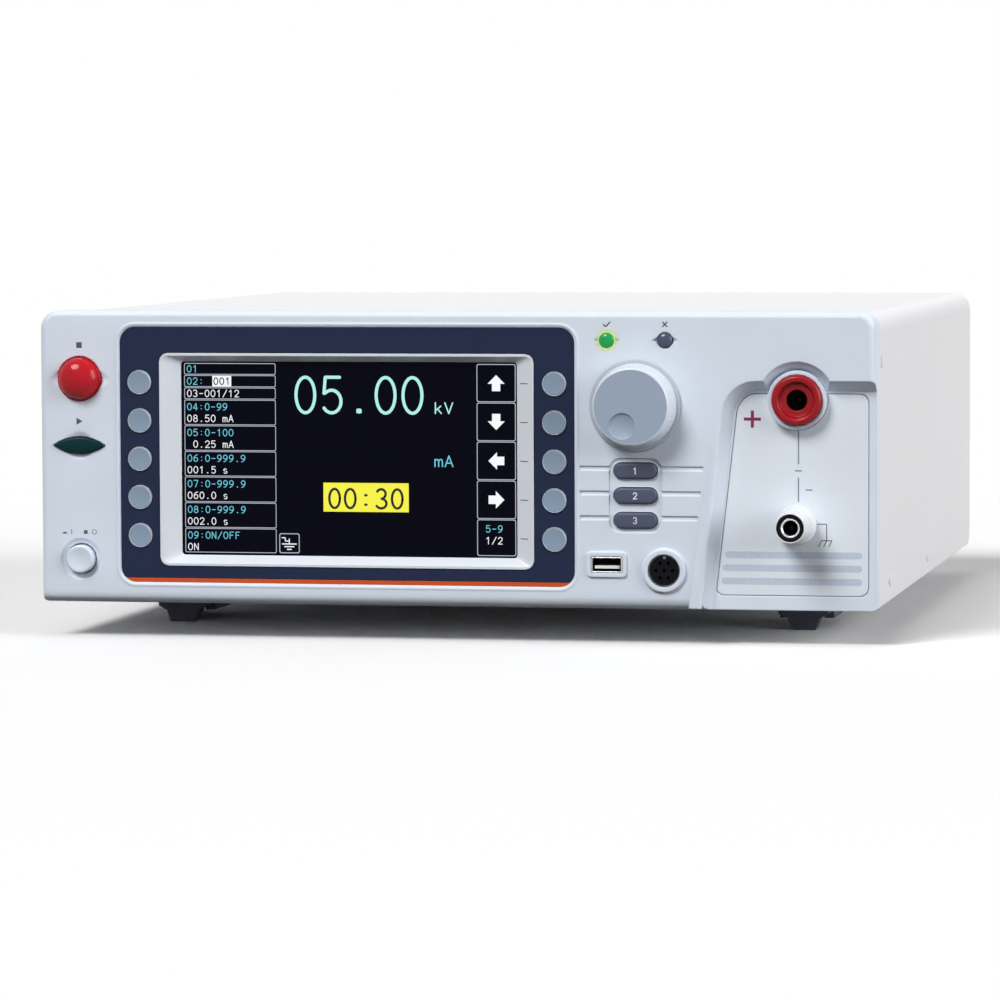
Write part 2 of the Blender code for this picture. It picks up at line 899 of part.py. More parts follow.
def make_soft_keys(material):
    front = depth(panel_sink) - soft_key_proud
    seat = depth(panel_sink) + panel_sheet + gap
    rim = soft_key_radius
    profile = domed(rim, front + 0.5 * mm, front - 0.3 * mm)
    profile += [
        (rim, seat),
        (rim + flange_lap, seat),
        (rim + flange_lap, seat + flange_sheet),
        (2.2 * mm, stem_end(soft_key_travel)),
        (0, stem_end(soft_key_travel)),
    ]
    keys = []
    for side, x in (("left", soft_key_left_x), ("right", soft_key_right_x)):
        for index, z in enumerate(soft_key_centres()):
            key = turned(f"soft_key_{side}_{index + 1}", (x, 0, z), profile, steps=key_steps)
            keys.append(finish(key, material, (x, front, z)))
    return keys


def make_stop_button(material):
    front = depth(-stop_proud)
    seat = depth(bezel_wall) + gap
    profile = domed(stop_radius, depth(-1.2 * mm), front, 6)
    profile += [
        (stop_radius, seat),
        (stop_radius + flange_lap, seat),
        (stop_radius + flange_lap, seat + flange_sheet),
        (3 * mm, stem_end(stop_travel)),
        (0, stem_end(stop_travel)),
    ]
    button = turned("stop_button", (stop_x, 0, height(stop_z)), profile, steps=medium_steps)
    return finish(button, material, (stop_x, front, height(stop_z)))


def make_start_button(material):
    front = depth(-start_proud)
    seat = depth(bezel_wall) + gap
    centre = (start_x, height(start_z))
    outline = pointed_oval(*centre, start_half, start_rise)
    lap = pointed_oval(*centre, start_half + 1.4 * flange_lap, start_rise + flange_lap)
    button = loft(
        "start_button",
        [
            at_depth(scaled(outline, *centre, 0.35), front - 0.35 * mm),
            at_depth(scaled(outline, *centre, 0.72), front - 0.1 * mm),
            at_depth(scaled(outline, *centre, 0.92), front + 0.25 * mm),
            at_depth(outline, front + 0.8 * mm),
            at_depth(outline, seat + 0.2 * mm),
        ],
    )
    join(button, prism("flange", lap, seat, seat + flange_sheet))
    join(button, cylinder("stem", *centre, 2.5 * mm, seat + 0.5 * mm, stem_end(start_travel), tiny_steps))
    return finish(button, material, (centre[0], front, centre[1]))


def make_power_button(material):
    front = depth(-power_proud)
    seat = depth(bezel_wall) + gap
    rod_end = depth(switch_depth) - power_travel - gap
    profile = domed(power_radius, front + 1.1 * mm, front)
    profile += [
        (power_radius, seat),
        (power_radius + flange_lap, seat),
        (power_radius + flange_lap, seat + flange_sheet),
        (2.5 * mm, seat + flange_sheet),
        (2.5 * mm, rod_end),
        (0, rod_end),
    ]
    button = turned("power_button", (power_x, 0, height(power_z)), profile)
    return finish(button, material, (power_x, front, height(power_z)))


def make_power_switch(material):
    centre_z = height(power_z)
    half = 7 * mm
    front = depth(switch_depth)
    body = block(
        "power_switch",
        (power_x - half, front + 4 * mm, foot_height + chassis_sheet + gap),
        (power_x + half, front + switch_body_depth, centre_z + half),
    )
    join(body, cylinder("plunger", power_x, centre_z, 2 * mm, front, front + 5 * mm, tiny_steps))
    return finish(body, material)


def make_mode_buttons(material):
    front = depth(-mode_proud)
    seat = depth(bezel_wall) + gap
    buttons = []
    for index, z in enumerate(mode_centres()):
        levels = [(front, 1.1), (front + 0.25 * mm, 0.45), (front + 0.8 * mm, 0), (seat + 0.2 * mm, 0)]
        sections = []
        for y, inset in levels:
            sections.append(at_depth(capsule(mode_x, z, mode_width, mode_height, -inset * mm), y))
        button = loft(f"mode_button_{index + 1}", sections)
        lap = capsule(mode_x, z, mode_width, mode_height, flange_lap)
        join(button, prism("flange", lap, seat, seat + flange_sheet))
        stem_start = seat + 0.5 * mm
        join(button, cylinder("stem", mode_x, z, 2.2 * mm, stem_start, stem_end(mode_travel), tiny_steps))
        buttons.append(finish(button, material, (mode_x, front, z)))
    return buttons


def make_lamp(name, x, material):
    seat = depth(bezel_wall) + gap
    board = depth(key_board_depth) - gap
    profile = domed(lamp_radius, depth(0.2 * mm), depth(-lamp_proud))
    profile += [
        (lamp_radius, seat),
        (lamp_radius + flange_lap, seat),
        (lamp_radius + flange_lap, seat + flange_sheet),
        (2.5 * mm, board),
        (0, board),
    ]
    lamp = turned(name, (x, 0, height(lamp_z)), profile, steps=key_steps)
    return finish(lamp, material)


def make_knob(material):
    centre = (knob_x, 0, height(knob_z))
    front = depth(-knob_proud)
    back = depth(-gap)
    lip = 1.1 * mm
    bore = bushing_radius + 2 * running_gap
    profile = [
        (0, front),
        (knob_face_radius - lip, front),
        (knob_face_radius - 0.3 * lip, front + 0.3 * lip),
        (knob_face_radius, front + lip),
        (knob_base_radius, back - knob_flange - lip),
        (knob_base_radius + 0.4 * mm, back - knob_flange),
        (knob_flange_radius - 0.4 * mm, back - knob_flange),
        (knob_flange_radius, back - knob_flange + 0.5 * mm),
        (knob_flange_radius, back),
        (bore, back),
        (bore, depth(-4 * mm)),
        (shaft_radius + gap, depth(-4 * mm)),
        (shaft_radius + gap, depth(-knob_proud + 4 * mm)),
        (0, depth(-knob_proud + 4 * mm)),
    ]
    knob = turned("control_knob", centre, profile, steps=large_steps)
    dimple_x = knob_x + knob_dimple_reach * math.cos(knob_dimple_angle)
    dimple_z = height(knob_z) + knob_dimple_reach * math.sin(knob_dimple_angle)
    hollow = [
        (0, front + knob_dimple_depth),
        (0.55 * knob_dimple_radius, front + 0.8 * knob_dimple_depth),
        (knob_dimple_radius, front),
        (1.15 * knob_dimple_radius, front - 0.5 * mm),
        (0, front - 0.5 * mm),
    ]
    cut(knob, turned("dimple", (dimple_x, 0, dimple_z), hollow))
    return finish(knob, material, (knob_x, front, height(knob_z)))


def make_encoder(body_material, shaft_material):
    """The encoder sits on the key board; its shaft turns with the knob inside the bushing."""
    z = height(knob_z)
    half = encoder_width / 2
    back = depth(key_board_depth) - gap
    front = back - encoder_depth
    bushing_front = depth(-2.5 * mm)
    bore = shaft_radius + running_gap
    body = block("encoder", (knob_x - half, front, z - half), (knob_x + half, back, z + half))
    join(body, cylinder("bushing", knob_x, z, bushing_radius, bushing_front, front + mm, key_steps))
    cut(body, cylinder("bore", knob_x, z, bore, bushing_front - mm, front + 2 * mm, key_steps))
    shaft_front = depth(-knob_proud + 4 * mm) + gap
    shaft = cylinder("encoder_shaft", knob_x, z, shaft_radius, shaft_front, front + 2 * mm - gap, key_steps)
    flat_low = (knob_x - half, shaft_front - mm, z + 0.55 * shaft_radius)
    flat_high = (knob_x + half, depth(-4.5 * mm), z + half)
    cut(shaft, block("flat", flat_low, flat_high))
    return [finish(body, body_material), finish(shaft, shaft_material, (knob_x, shaft_front, z))]


# Sockets and terminals on the front


def make_port(shell_material, tongue_material):
    front = depth(-port_frame_proud) + 0.2 * mm
    back = depth(key_board_depth) - gap
    inner_back = back - 2 * port_sheet
    shell = prism("usb_port_shell", port_outline(port_sheet), front, back)
    cut(shell, prism("mouth", port_outline(0), front - mm, inner_back))
    half = port_width / 2 - 0.9 * mm
    low = height(port_z) - port_height / 2 + 0.55 * mm
    tongue = block(
        "usb_port_tongue",
        (port_x - half, front + 1.2 * mm, low),
        (port_x + half, inner_back - gap, low + port_tongue_sheet),
    )
    return [finish(shell, shell_material), finish(tongue, tongue_material)]


def make_remote_socket(material):
    z = height(remote_z)
    front = depth(-remote_proud + remote_sink)
    seat = depth(bezel_wall) + gap
    back = depth(remote_depth)
    profile = [
        (0, front),
        (remote_radius - 0.5 * mm, front),
        (remote_radius, front + 0.5 * mm),
        (remote_radius, seat),
        (remote_radius + flange_lap, seat),
        (remote_radius + flange_lap, back),
        (0, back),
    ]
    socket = turned("remote_socket", (remote_x, 0, z), profile)
    rim_z = z + remote_radius
    key_low = (remote_x - remote_key_half, front - mm, rim_z - 2 * remote_key_half)
    key_high = (remote_x + remote_key_half, front + 3 * mm, rim_z + mm)
    cut(socket, block("key", key_low, key_high))
    for index in range(remote_pin_count):
        angle = math.radians(90) + 2 * math.pi * (index + 0.5) / remote_pin_count
        x = remote_x + remote_pin_circle * math.cos(angle)
        pin_z = z + remote_pin_circle * math.sin(angle)
        cut(socket, cylinder("hole", x, pin_z, remote_pin_radius, front - mm, front + 4 * mm, 6))
    cut(socket, cylinder("hole", remote_x, z, remote_pin_radius, front - mm, front + 4 * mm, 6))
    return finish(socket, material)


def make_terminal_plate(material):
    floor = depth(recess_depth)
    plate = prism("terminal_plate", plate_outline(gap), floor, floor + plate_sheet - gap)
    start = floor - mm
    end = floor + 3 * mm
    cut(plate, cylinder("hole", hv_x, height(hv_z), hv_boss_radius + gap, start, end, large_steps))
    cut(plate, cylinder("hole", return_x, height(return_z), return_stem_radius + gap, start, end, key_steps))
    return finish(plate, material)


def make_hv_socket(collar_material, metal_material):
    centre = (hv_x, 0, height(hv_z))
    front = depth(-hv_proud)
    step = front + hv_step_depth
    hole_end = front + hv_hole_depth
    back = hole_end + 4 * mm
    round_edge = 0.9 * mm
    collar_profile = [
        (0, hole_end),
        (hv_hole_radius, hole_end),
        (hv_hole_radius, step + 0.6 * mm),
        (hv_hole_radius + 0.6 * mm, step),
        (hv_step_radius, step),
        (hv_step_radius + 0.9 * mm, front + 0.2 * mm),
        (hv_step_radius + 1.6 * mm, front),
        (hv_radius - round_edge, front),
        (hv_radius - 0.3 * round_edge, front + 0.3 * round_edge),
        (hv_radius, front + round_edge),
        (hv_radius, back),
        (0, back),
    ]
    collar = turned("hv_socket", centre, collar_profile, steps=medium_steps)
    contact_profile = [
        (0, hole_end - 5 * mm),
        (hv_contact_radius - 0.5 * mm, hole_end - 5 * mm),
        (hv_contact_radius, hole_end - 4.4 * mm),
        (hv_contact_radius, hole_end - gap),
        (0, hole_end - gap),
    ]
    contact = turned("hv_socket_contact", centre, contact_profile, steps=tiny_steps)
    return [finish(collar, collar_material), finish(contact, metal_material)]


def make_hv_socket_nut(material):
    front = depth(recess_depth + bezel_wall) + gap
    back = front + nut_sheet
    nut = cylinder("hv_socket_nut", hv_x, height(hv_z), hv_nut_radius, front, back, 6)
    cut(nut, cylinder("thread", hv_x, height(hv_z), hv_radius + gap, front - mm, back + mm))
    return finish(nut, material)


def make_return_terminal(body_material, insulator_material, metal_material):
    centre = (return_x, 0, height(return_z))
    seat = depth(recess_depth) - gap
    front = seat + gap - return_length
    bore = return_insulator_radius + gap
    floor = seat - 2.7 * mm
    edge = 0.06 * return_front_radius
    body_profile = [
        (bore, front),
        (return_front_radius - edge, front),
        (return_front_radius, front + edge),
        (return_base_radius, seat - 2 * edge),
        (return_base_radius - edge, seat),
        (return_stem_radius + gap, seat),
        (return_stem_radius + gap, floor),
        (bore, floor),
    ]
    body = turned("return_terminal", centre, body_profile, steps=medium_steps)
    sleeve_inner = return_contact_radius + gap
    sleeve_profile = [
        (sleeve_inner, front + edge),
        (return_insulator_radius, front + edge),
        (return_insulator_radius, floor - gap),
        (sleeve_inner, floor - gap),
    ]
    sleeve = turned("return_insulator", centre, sleeve_profile)
    contact_front = front + 2.5 * edge
    stem_back = depth(recess_depth + bezel_wall) + 6 * mm
    contact_profile = [
        (0, contact_front + return_bore_depth),
        (return_bore_radius, contact_front + return_bore_depth),
        (return_bore_radius, contact_front + edge),
        (return_bore_radius + edge, contact_front),
        (return_contact_radius, contact_front),
        (return_contact_radius, floor - gap),
        (return_stem_radius, floor - gap),
        (return_stem_radius, stem_back),
        (0, stem_back),
    ]
    contact = turned("return_contact", centre, contact_profile, steps=key_steps)
    nut_front = depth(recess_depth + bezel_wall) + gap
    nut_back = nut_front + nut_sheet
    join(contact, cylinder("nut", return_x, height(return_z), return_nut_radius, nut_front, nut_back, 6))
    return [
        finish(body, body_material),
        finish(sleeve, insulator_material),
        finish(contact, metal_material),
    ]


# Case


def across(name, outline, x_left, x_right):
    """A prism along X from an outline of (y, z) points."""
    return loft(name, [[(x, y, z) for y, z in outline] for x in (x_left, x_right)])


def cover_half_width():
    return side_x - cover_inset


def inside_half_width():
    return cover_half_width() - cover_sheet - gap


def inside_top():
    return case_top - cover_inset - cover_sheet - gap


def screw_positions():
    return [(depth(back), height(up)) for back, up in screw_places]


def make_cover(material):
    half = cover_half_width()
    top = case_top - cover_inset
    low = foot_height
    outer_radius = cover_radius
    inner_radius = cover_radius - cover_sheet
    outer = arc(half - outer_radius, top - outer_radius, outer_radius, 0, 90, 6)
    outer += arc(-half + outer_radius, top - outer_radius, outer_radius, 90, 180, 6)
    inner = arc(half - outer_radius, top - outer_radius, inner_radius, 0, 90, 6)
    inner += arc(-half + outer_radius, top - outer_radius, inner_radius, 90, 180, 6)
    thin = cover_sheet
    outline = [(half, low)] + outer + [(-half, low), (-half + thin, low)] + inner[::-1] + [(half - thin, low)]
    front = depth(bezel_depth) + gap
    rear = depth(case_depth)
    cover = prism("top_cover", outline, front, rear)
    heel = [(rear + mm, low - mm), (rear + mm, low + cover_heel_radius)]
    heel += arc(rear - cover_heel_radius, low + cover_heel_radius, cover_heel_radius, 0, -90, 5)
    heel += [(rear - cover_heel_radius, low - mm)]
    cut(cover, across("heel", heel, -side_x, side_x))
    for side in (-1, 1):
        for y, z in screw_positions():
            join(cover, cover_screw(side, y, z))
    return finish(cover, material)


def cover_screw(side, y, z):
    """A pan-head screw that holds one side of the cover."""
    profile = [
        (0, screw_head_height),
        (0.55 * screw_head_radius, 0.85 * screw_head_height),
        (screw_head_radius, 0.3 * screw_head_height),
        (screw_head_radius, -0.5 * cover_sheet),
        (screw_shank_radius, -0.5 * cover_sheet),
        (screw_shank_radius, -screw_length),
        (0, -screw_length),
    ]
    screw = turned("screw", (0, 0, 0), profile, steps=tiny_steps, axis="X")
    turn = Matrix.Rotation(0 if side > 0 else math.pi, 4, "Z")
    screw.data.transform(Matrix.Translation((side * cover_half_width(), y, z)) @ turn)
    return screw


def make_chassis(material):
    """The floor tray with its side flanges, the posts for the boards and the cooling slots."""
    half = inside_half_width()
    low = foot_height
    front = depth(bezel_depth) + gap
    flange_front = front + subpanel_sheet + 2 * gap
    back = depth(case_depth) - rear_sheet - 2 * gap
    chassis = block("bottom_chassis", (-half, front, low), (half, back, low + chassis_sheet))
    for side in (-1, 1):
        near_x, far_x = sorted((side * half, side * (half - chassis_sheet)))
        flange_low = (near_x, flange_front, low + 0.5 * mm)
        join(chassis, block("flange", flange_low, (far_x, back, low + chassis_flange)))
    for y, z in screw_positions():
        if z < low + chassis_flange:
            hole = circle(y, z, screw_shank_radius + gap, tiny_steps)
            cut(chassis, across("hole", hole, -side_x, side_x))
    for x, y in standoff_places():
        top = low + chassis_sheet + standoff_height
        join(chassis, post("post", x, y, standoff_radius, low + 0.5 * mm, top))
    for row in range(vent_count):
        y = depth(vent_back) + row * vent_pitch
        half = vent_height / 2
        slot = rounded(-vent_length / 2, vent_length / 2, y - half, y + half, 0.98 * half, 2)
        cut(chassis, upright("slot", slot, low - mm, low + chassis_sheet + mm))
    return finish(chassis, material)


def upright(name, outline, z_low, z_high):
    """A prism along Z from an outline of (x, y) points."""
    return loft(name, [[(x, y, z) for x, y in outline] for z in (z_low, z_high)])


def post(name, x, y, radius, z_low, z_high, steps=tiny_steps):
    return upright(name, circle(x, y, radius, steps), z_low, z_high)


def standoff_places():
    places = []
    for centre_x, wide, back, long in (
        (main_board_x, main_board_width, main_board_back, main_board_length),
        (supply_x, supply_width, supply_back, supply_length),
    ):
        reach = wide / 2 - standoff_margin
        for x in (centre_x - reach, centre_x + reach):
            for y in (depth(back) + standoff_margin, depth(back + long) - standoff_margin):
                places.append((x, y))
    return places


def make_subpanel(material):
    """The folded sheet frame behind the bezel that ties chassis, cover and bezel together."""
    half = inside_half_width()
    front = depth(bezel_depth) + gap
    back = front + subpanel_sheet
    low = foot_height + chassis_sheet + gap
    top = inside_top()
    radius = cover_radius - cover_sheet - gap
    outline = rounded(-half, half, low, top, radius, 4, low_radius=mm, low_steps=1)
    panel = prism("front_subpanel", outline, front, back)
    border = subpanel_border
    window = rounded(-half + border, half - border, low + 4 * mm, top - border, 4 * mm, 3)
    cut(panel, prism("window", window, front - mm, back + mm))
    flange_low = foot_height + chassis_flange + mm
    for side in (-1, 1):
        near_x, far_x = sorted((side * half, side * (half - subpanel_sheet)))
        corner = (near_x, front + 0.5 * mm, flange_low)
        join(panel, block("flange", corner, (far_x, back + subpanel_flange, top - radius)))
    for y, z in screw_positions():
        if z > flange_low:
            hole = circle(y, z, screw_shank_radius + gap, tiny_steps)
            cut(panel, across("hole", hole, -side_x, side_x))
    return finish(panel, material)


# Boards and parts inside


def make_key_board(material):
    """The board behind the front with a switch for each key, notched round the power rod."""
    front = depth(key_board_depth)
    back = front + board_sheet
    left = -side_x + bezel_wall + 2 * mm
    right = recess_left - key_board_margin
    low = foot_height + bezel_wall + 2 * mm
    top = case_top - bezel_wall - 3 * mm
    board = block("key_board", (left, front, low), (right, back, top))
    cut(board, cylinder("rod_hole", power_x, height(power_z), 5 * mm, front - mm, back + mm, key_steps))
    places = soft_key_places() + [(mode_x, z) for z in mode_centres()]
    places += [(stop_x, height(stop_z)), (start_x, height(start_z))]
    half = 3 * mm
    for x, z in places:
        corner = (x - half, switch_front(), z - half)
        join(board, block("switch", corner, (x + half, front + 0.5 * mm, z + half)))
    return finish(board, material)


def board_underside():
    return foot_height + chassis_sheet + standoff_height + gap


def make_main_board(material):
    under = board_underside()
    top = under + board_sheet
    left = main_board_x - main_board_width / 2
    near = depth(main_board_back)
    board = block("main_board", (left, near, under), (left + main_board_width, near + main_board_length, top))
    for index, (wide, long, tall) in enumerate(chip_sizes):
        x = left + chip_margin + chip_pitch * index
        y = near + chip_back + chip_stagger * (index % 2)
        join(board, block("chip", (x, y, top - 0.5 * mm), (x + wide, y + long, top + tall)))
    for index in range(capacitor_count):
        x = left + capacitor_margin + capacitor_pitch * index
        y = near + capacitor_back
        join(board, post("capacitor", x, y, capacitor_radius, top - 0.5 * mm, top + capacitor_height))
    return finish(board, material)


def make_power_supply(board_material):
    under = board_underside()
    top = under + board_sheet
    left = supply_x - supply_width / 2
    right = supply_x + supply_width / 2
    near = depth(supply_back)
    far = near + supply_length
    supply = block("power_supply", (left, near, under), (right, far, top))
    can_low = (left + supply_margin, near + supply_margin, top - 0.5 * mm)
    can_high = (right - supply_margin, far - supply_margin, top + supply_height)
    join(supply, block("can", can_low, can_high))
    return finish(supply, board_material)


def make_transformer(material):
    """The high-voltage transformer: a laminated core with its round winding."""
    low = foot_height + chassis_sheet + gap
    near = depth(core_back)
    far = near + core_length
    left = core_x - core_width / 2
    right = core_x + core_width / 2
    core = block("hv_transformer", (left, near, low), (right, far, low + core_height))
    window_low = low + core_limb
    window_high = low + core_height - core_limb
    middle = core_limb / 2
    for start, end in ((left + core_limb, core_x - middle), (core_x + middle, right - core_limb)):
        cut(core, block("window", (start, near - mm, window_low), (end, far + mm, window_high)))
    half = core_width / 2 - core_limb - running_gap
    near -= winding_overhang
    far += winding_overhang
    outline = rounded(core_x - half, core_x + half, near, far, 7 * mm, 4)
    join(core, upright("winding", outline, window_low + running_gap, window_high - running_gap))
    return finish(core, material)


# Feet


def make_front_foot(name, x, material):
    """A foot block with a pad in front and two cheeks that hold the tilt leg."""
    near = depth(front_foot_back)
    half = foot_width / 2
    top = foot_height - gap
    rear = near + foot_block + foot_cheek_length
    body = block(name, (x - half, near, top - foot_plate), (x + half, rear, top))
    shoulder = foot_pad_height
    pad = foot_pad_width / 2
    far = near + foot_block
    lower = [
        (x - half + mm, top - foot_plate + 0.5 * mm),
        (x - half + mm, shoulder + 2 * mm),
        (x - pad - 2 * mm, shoulder),
        (x - pad, 0),
        (x + pad, 0),
        (x + pad + 2 * mm, shoulder),
        (x + half - mm, shoulder + 2 * mm),
        (x + half - mm, top - foot_plate + 0.5 * mm),
    ]
    join(body, prism("pad", lower, near + mm, far - 2 * mm))
    pivot_y, pivot_z = leg_pivot()
    cheek_low = pivot_z - 3.6 * mm
    for side in (-1, 1):
        inner, outer = sorted((x + side * (half - foot_cheek), x + side * half))
        join(body, block("cheek", (inner, far - mm, cheek_low), (outer, far + foot_cheek_length, top - mm)))
    hole = circle(pivot_y, pivot_z, leg_pin_radius + gap, tiny_steps)
    reach = half - foot_cheek + 3 * mm + gap
    cut(body, across("pin_hole", hole, x - reach, x + reach))
    return finish(body, material)


def leg_pivot():
    """The (y, z) of the axis that both tilt legs turn about."""
    far = depth(front_foot_back) + foot_block
    return far + leg_thick / 2 + 1.6 * mm, foot_height - gap - leg_pivot_drop


def make_tilt_leg(name, x, material):
    """Folded, the leg lies flat behind its foot; open, it stands down and slightly forward."""
    pivot_y, pivot_z = leg_pivot()
    half = foot_width / 2 - foot_cheek - running_gap
    radius = leg_thick / 2
    end = pivot_y + leg_length
    profile = [(pivot_y, pivot_z + radius)] + arc(pivot_y, pivot_z, radius, 90, 270, 6)[1:]
    profile += [(end - 2 * mm, pivot_z - radius), (end, pivot_z - radius + 1.5 * mm), (end, pivot_z + radius)]
    leg = across(name, profile, x - half, x + half)
    finger = [(end - 8 * mm, pivot_z - radius - mm), (end - 5 * mm, pivot_z - radius + 2 * mm)]
    finger += [(end - 3 * mm, pivot_z - radius + 2 * mm), (end - 3 * mm, pivot_z - radius - mm)]
    cut(leg, across("finger_notch", finger, x - 0.5 * half, x + 0.5 * half))
    reach = foot_width / 2 - foot_cheek + 3 * mm
    pin = circle(pivot_y, pivot_z, leg_pin_radius, tiny_steps)
    join(leg, across("pin", pin, x - reach, x + reach))
    return finish(leg, material, (x, pivot_y, pivot_z))


def make_rear_foot(name, x, material):
    y = depth(case_depth - rear_foot_inset)
    top = foot_height - gap
    profile = [
        (0, 0),
        (0.8 * rear_foot_radius, 0),
        (0.86 * rear_foot_radius, 0.8 * mm),
        (rear_foot_radius, top - 1 * mm),
        (rear_foot_radius, top),
        (0, top),
    ]
    foot = turned(name, (x, y, 0), profile, steps=key_steps, axis="Z")
    return finish(foot, material)


# Rear side


def rear_face():
    return depth(case_depth) - gap


def make_rear_panel(material):
    half = inside_half_width()
    back = rear_face()
    front = back - rear_sheet
    radius = cover_radius - cover_sheet - gap
    outline = rounded(-half, half, foot_height, inside_top(), radius, 4, low_radius=mm, low_steps=1)
    panel = prism("rear_panel", outline, front, back)
    start = front - mm
    end = back + mm
    cut(panel, cylinder("fan_hole", fan_x, height(fan_z), fan_ring_radius, start, end, medium_steps))
    for x, z in fan_screw_places():
        cut(panel, cylinder("screw_hole", x, z, screw_shank_radius + gap, start, end, tiny_steps))
    inlet = rect(inlet_x, height(inlet_z), inlet_body_width() + 2 * gap, inlet_body_height() + 2 * gap)
    cut(panel, prism("inlet_hole", inlet, start, end))
    cut(panel, prism("signal_hole", signal_outline(gap), start, end))
    network = rect(network_x, height(network_z), network_width + 2 * gap, network_height + 2 * gap)
    cut(panel, prism("network_hole", network, start, end))
    ground_radius = ground_stud_radius + gap
    cut(panel, cylinder("ground_hole", ground_x, height(ground_z), ground_radius, start, end, tiny_steps))
    return finish(panel, material)


def rect(centre_x, centre_z, wide, tall):
    return [
        (centre_x - wide / 2, centre_z - tall / 2),
        (centre_x + wide / 2, centre_z - tall / 2),
        (centre_x + wide / 2, centre_z + tall / 2),
        (centre_x - wide / 2, centre_z + tall / 2),
    ]


def fan_screw_places():
    reach = fan_size / 2 - 5 * mm
    return [(fan_x + i * reach, height(fan_z) + j * reach) for i in (-1, 1) for j in (-1, 1)]


def make_fan(frame_material, rotor_material, guard_material):
    z = height(fan_z)
    back = rear_face() - rear_sheet - gap
    front = back - fan_depth
    half = fan_size / 2
    outline = rounded(fan_x - half, fan_x + half, z - half, z + half, 4 * mm, 3)
    frame = prism("fan_frame", outline, front, back)
    motor_back = front + 3 * mm
    cut(frame, cylinder("duct", fan_x, z, fan_ring_radius, front - mm, back + mm, medium_steps))
    for turn in (30, 150, 270):
        angle = math.radians(turn)
        strut = block("strut", (-mm, front, 0), (mm, motor_back, fan_ring_radius + mm))
        strut.data.transform(Matrix.Translation((fan_x, 0, z)) @ Matrix.Rotation(angle, 4, "Y"))
        join(frame, strut)
    motor = turned(
        "motor",
        (fan_x, 0, z),
        [
            (0, front),
            (fan_hub_radius, front),
            (fan_hub_radius, motor_back),
            (3 * mm, motor_back),
            (3 * mm, motor_back + 4 * mm),
            (0, motor_back + 4 * mm),
        ],
        steps=key_steps,
    )
    join(frame, motor)
    for x, hole_z in fan_screw_places():
        cut(frame, cylinder("hole", x, hole_z, screw_shank_radius + gap, front - mm, back + mm, 8))
    rotor_front = motor_back + running_gap
    rotor_back = back - 2 * mm
    bore = 3 * mm + running_gap
    hub = turned(
        "fan_rotor",
        (fan_x, 0, z),
        [
            (bore, rotor_front),
            (fan_hub_radius, rotor_front),
            (fan_hub_radius, rotor_back - mm),
            (fan_hub_radius - mm, rotor_back),
            (0, rotor_back),
            (0, motor_back + 4 * mm + running_gap),
            (bore, motor_back + 4 * mm + running_gap),
        ],
    )
    for index in range(fan_blade_count):
        join(hub, fan_blade(index, z, rotor_front + mm, rotor_back - 1.5 * mm))
    guard = make_guard(z)
    return [
        finish(frame, frame_material),
        finish(hub, rotor_material, (fan_x, rotor_front, z)),
        finish(guard, guard_material),
    ]


def fan_blade(index, z, near, far):
    """A curved blade: its root and tip sections are turned against each other."""
    thick = 1.2 * mm
    sections = []
    for share in (0, 0.5, 1):
        radius = fan_hub_radius - mm + (fan_ring_radius - fan_blade_gap - fan_hub_radius + mm) * share
        half_angle = math.radians(17 - 4 * share)
        ring = []
        for side, y in ((-1, near), (1, far)):
            angle = side * half_angle + math.radians(6 * share)
            ring.append((radius * math.sin(angle) - thick / 2, y, radius * math.cos(angle)))
        for side, y in ((1, far), (-1, near)):
            angle = side * half_angle + math.radians(6 * share)
            ring.append((radius * math.sin(angle) + thick / 2, y, radius * math.cos(angle)))
        sections.append(ring)
    blade = loft("blade", sections)
    turn = Matrix.Rotation(2 * math.pi * index / fan_blade_count, 4, "Y")
    blade.data.transform(Matrix.Translation((fan_x, 0, z)) @ turn)
    return blade


def make_guard(z):
    """The wire guard: rings on four arms that end in eyes at the fan's screws."""
    plane = rear_face() + gap + guard_stand
    parts = []
    for index in range(guard_ring_count):
        radius = (index + 1) * fan_ring_radius / guard_ring_count - guard_wire
        sides = [
            (radius + guard_wire * math.cos(angle), plane + guard_wire * math.sin(angle))
            for angle in (math.pi / 2 * step for step in range(4))
        ]
        parts.append(turned("ring", (fan_x, 0, z), sides))
    arm_in = 3 * mm
    for x, eye_z in fan_screw_places():
        parts.append(cylinder("eye", x, eye_z, 3.2 * mm, plane - guard_stand, plane + 0.6 * mm, tiny_steps))
        direction = Vector((x - fan_x, 0, eye_z - z))
        span = direction.length - arm_in
        corner = (-0.8 * mm, plane - 0.5 * mm, arm_in)
        wire = block("wire", corner, (0.8 * mm, plane + 0.5 * mm, arm_in + span))
        angle = math.atan2(direction.x, direction.z)
        wire.data.transform(Matrix.Translation((fan_x, 0, z)) @ Matrix.Rotation(angle, 4, "Y"))
        parts.append(wire)
    guard = parts[0]
    guard.name = "fan_guard"
    for piece in parts[1:]:
        join(guard, piece)
    return guard


def inlet_body_width():
    return inlet_width - 3 * mm


def inlet_body_height():
    return inlet_height - 3 * mm


def plug_outline(grow=0.0):
    """The opening for the mains plug has two slanted corners at its top."""
    z = height(inlet_z) - inlet_height / 2 + 3.5 * mm + plug_height / 2
    left = inlet_x - plug_width / 2 - grow
    right = inlet_x + plug_width / 2 + grow
    low = z - plug_height / 2 - grow
    high = z + plug_height / 2 + grow
    shoulder = high - plug_chamfer
    upper = [(right, shoulder), (right - plug_chamfer, high), (left + plug_chamfer, high), (left, shoulder)]
    return [(left, low), (right, low)] + upper


def drawer_centre_z():
    return height(inlet_z) + inlet_height / 2 - 5 * mm - drawer_height / 2


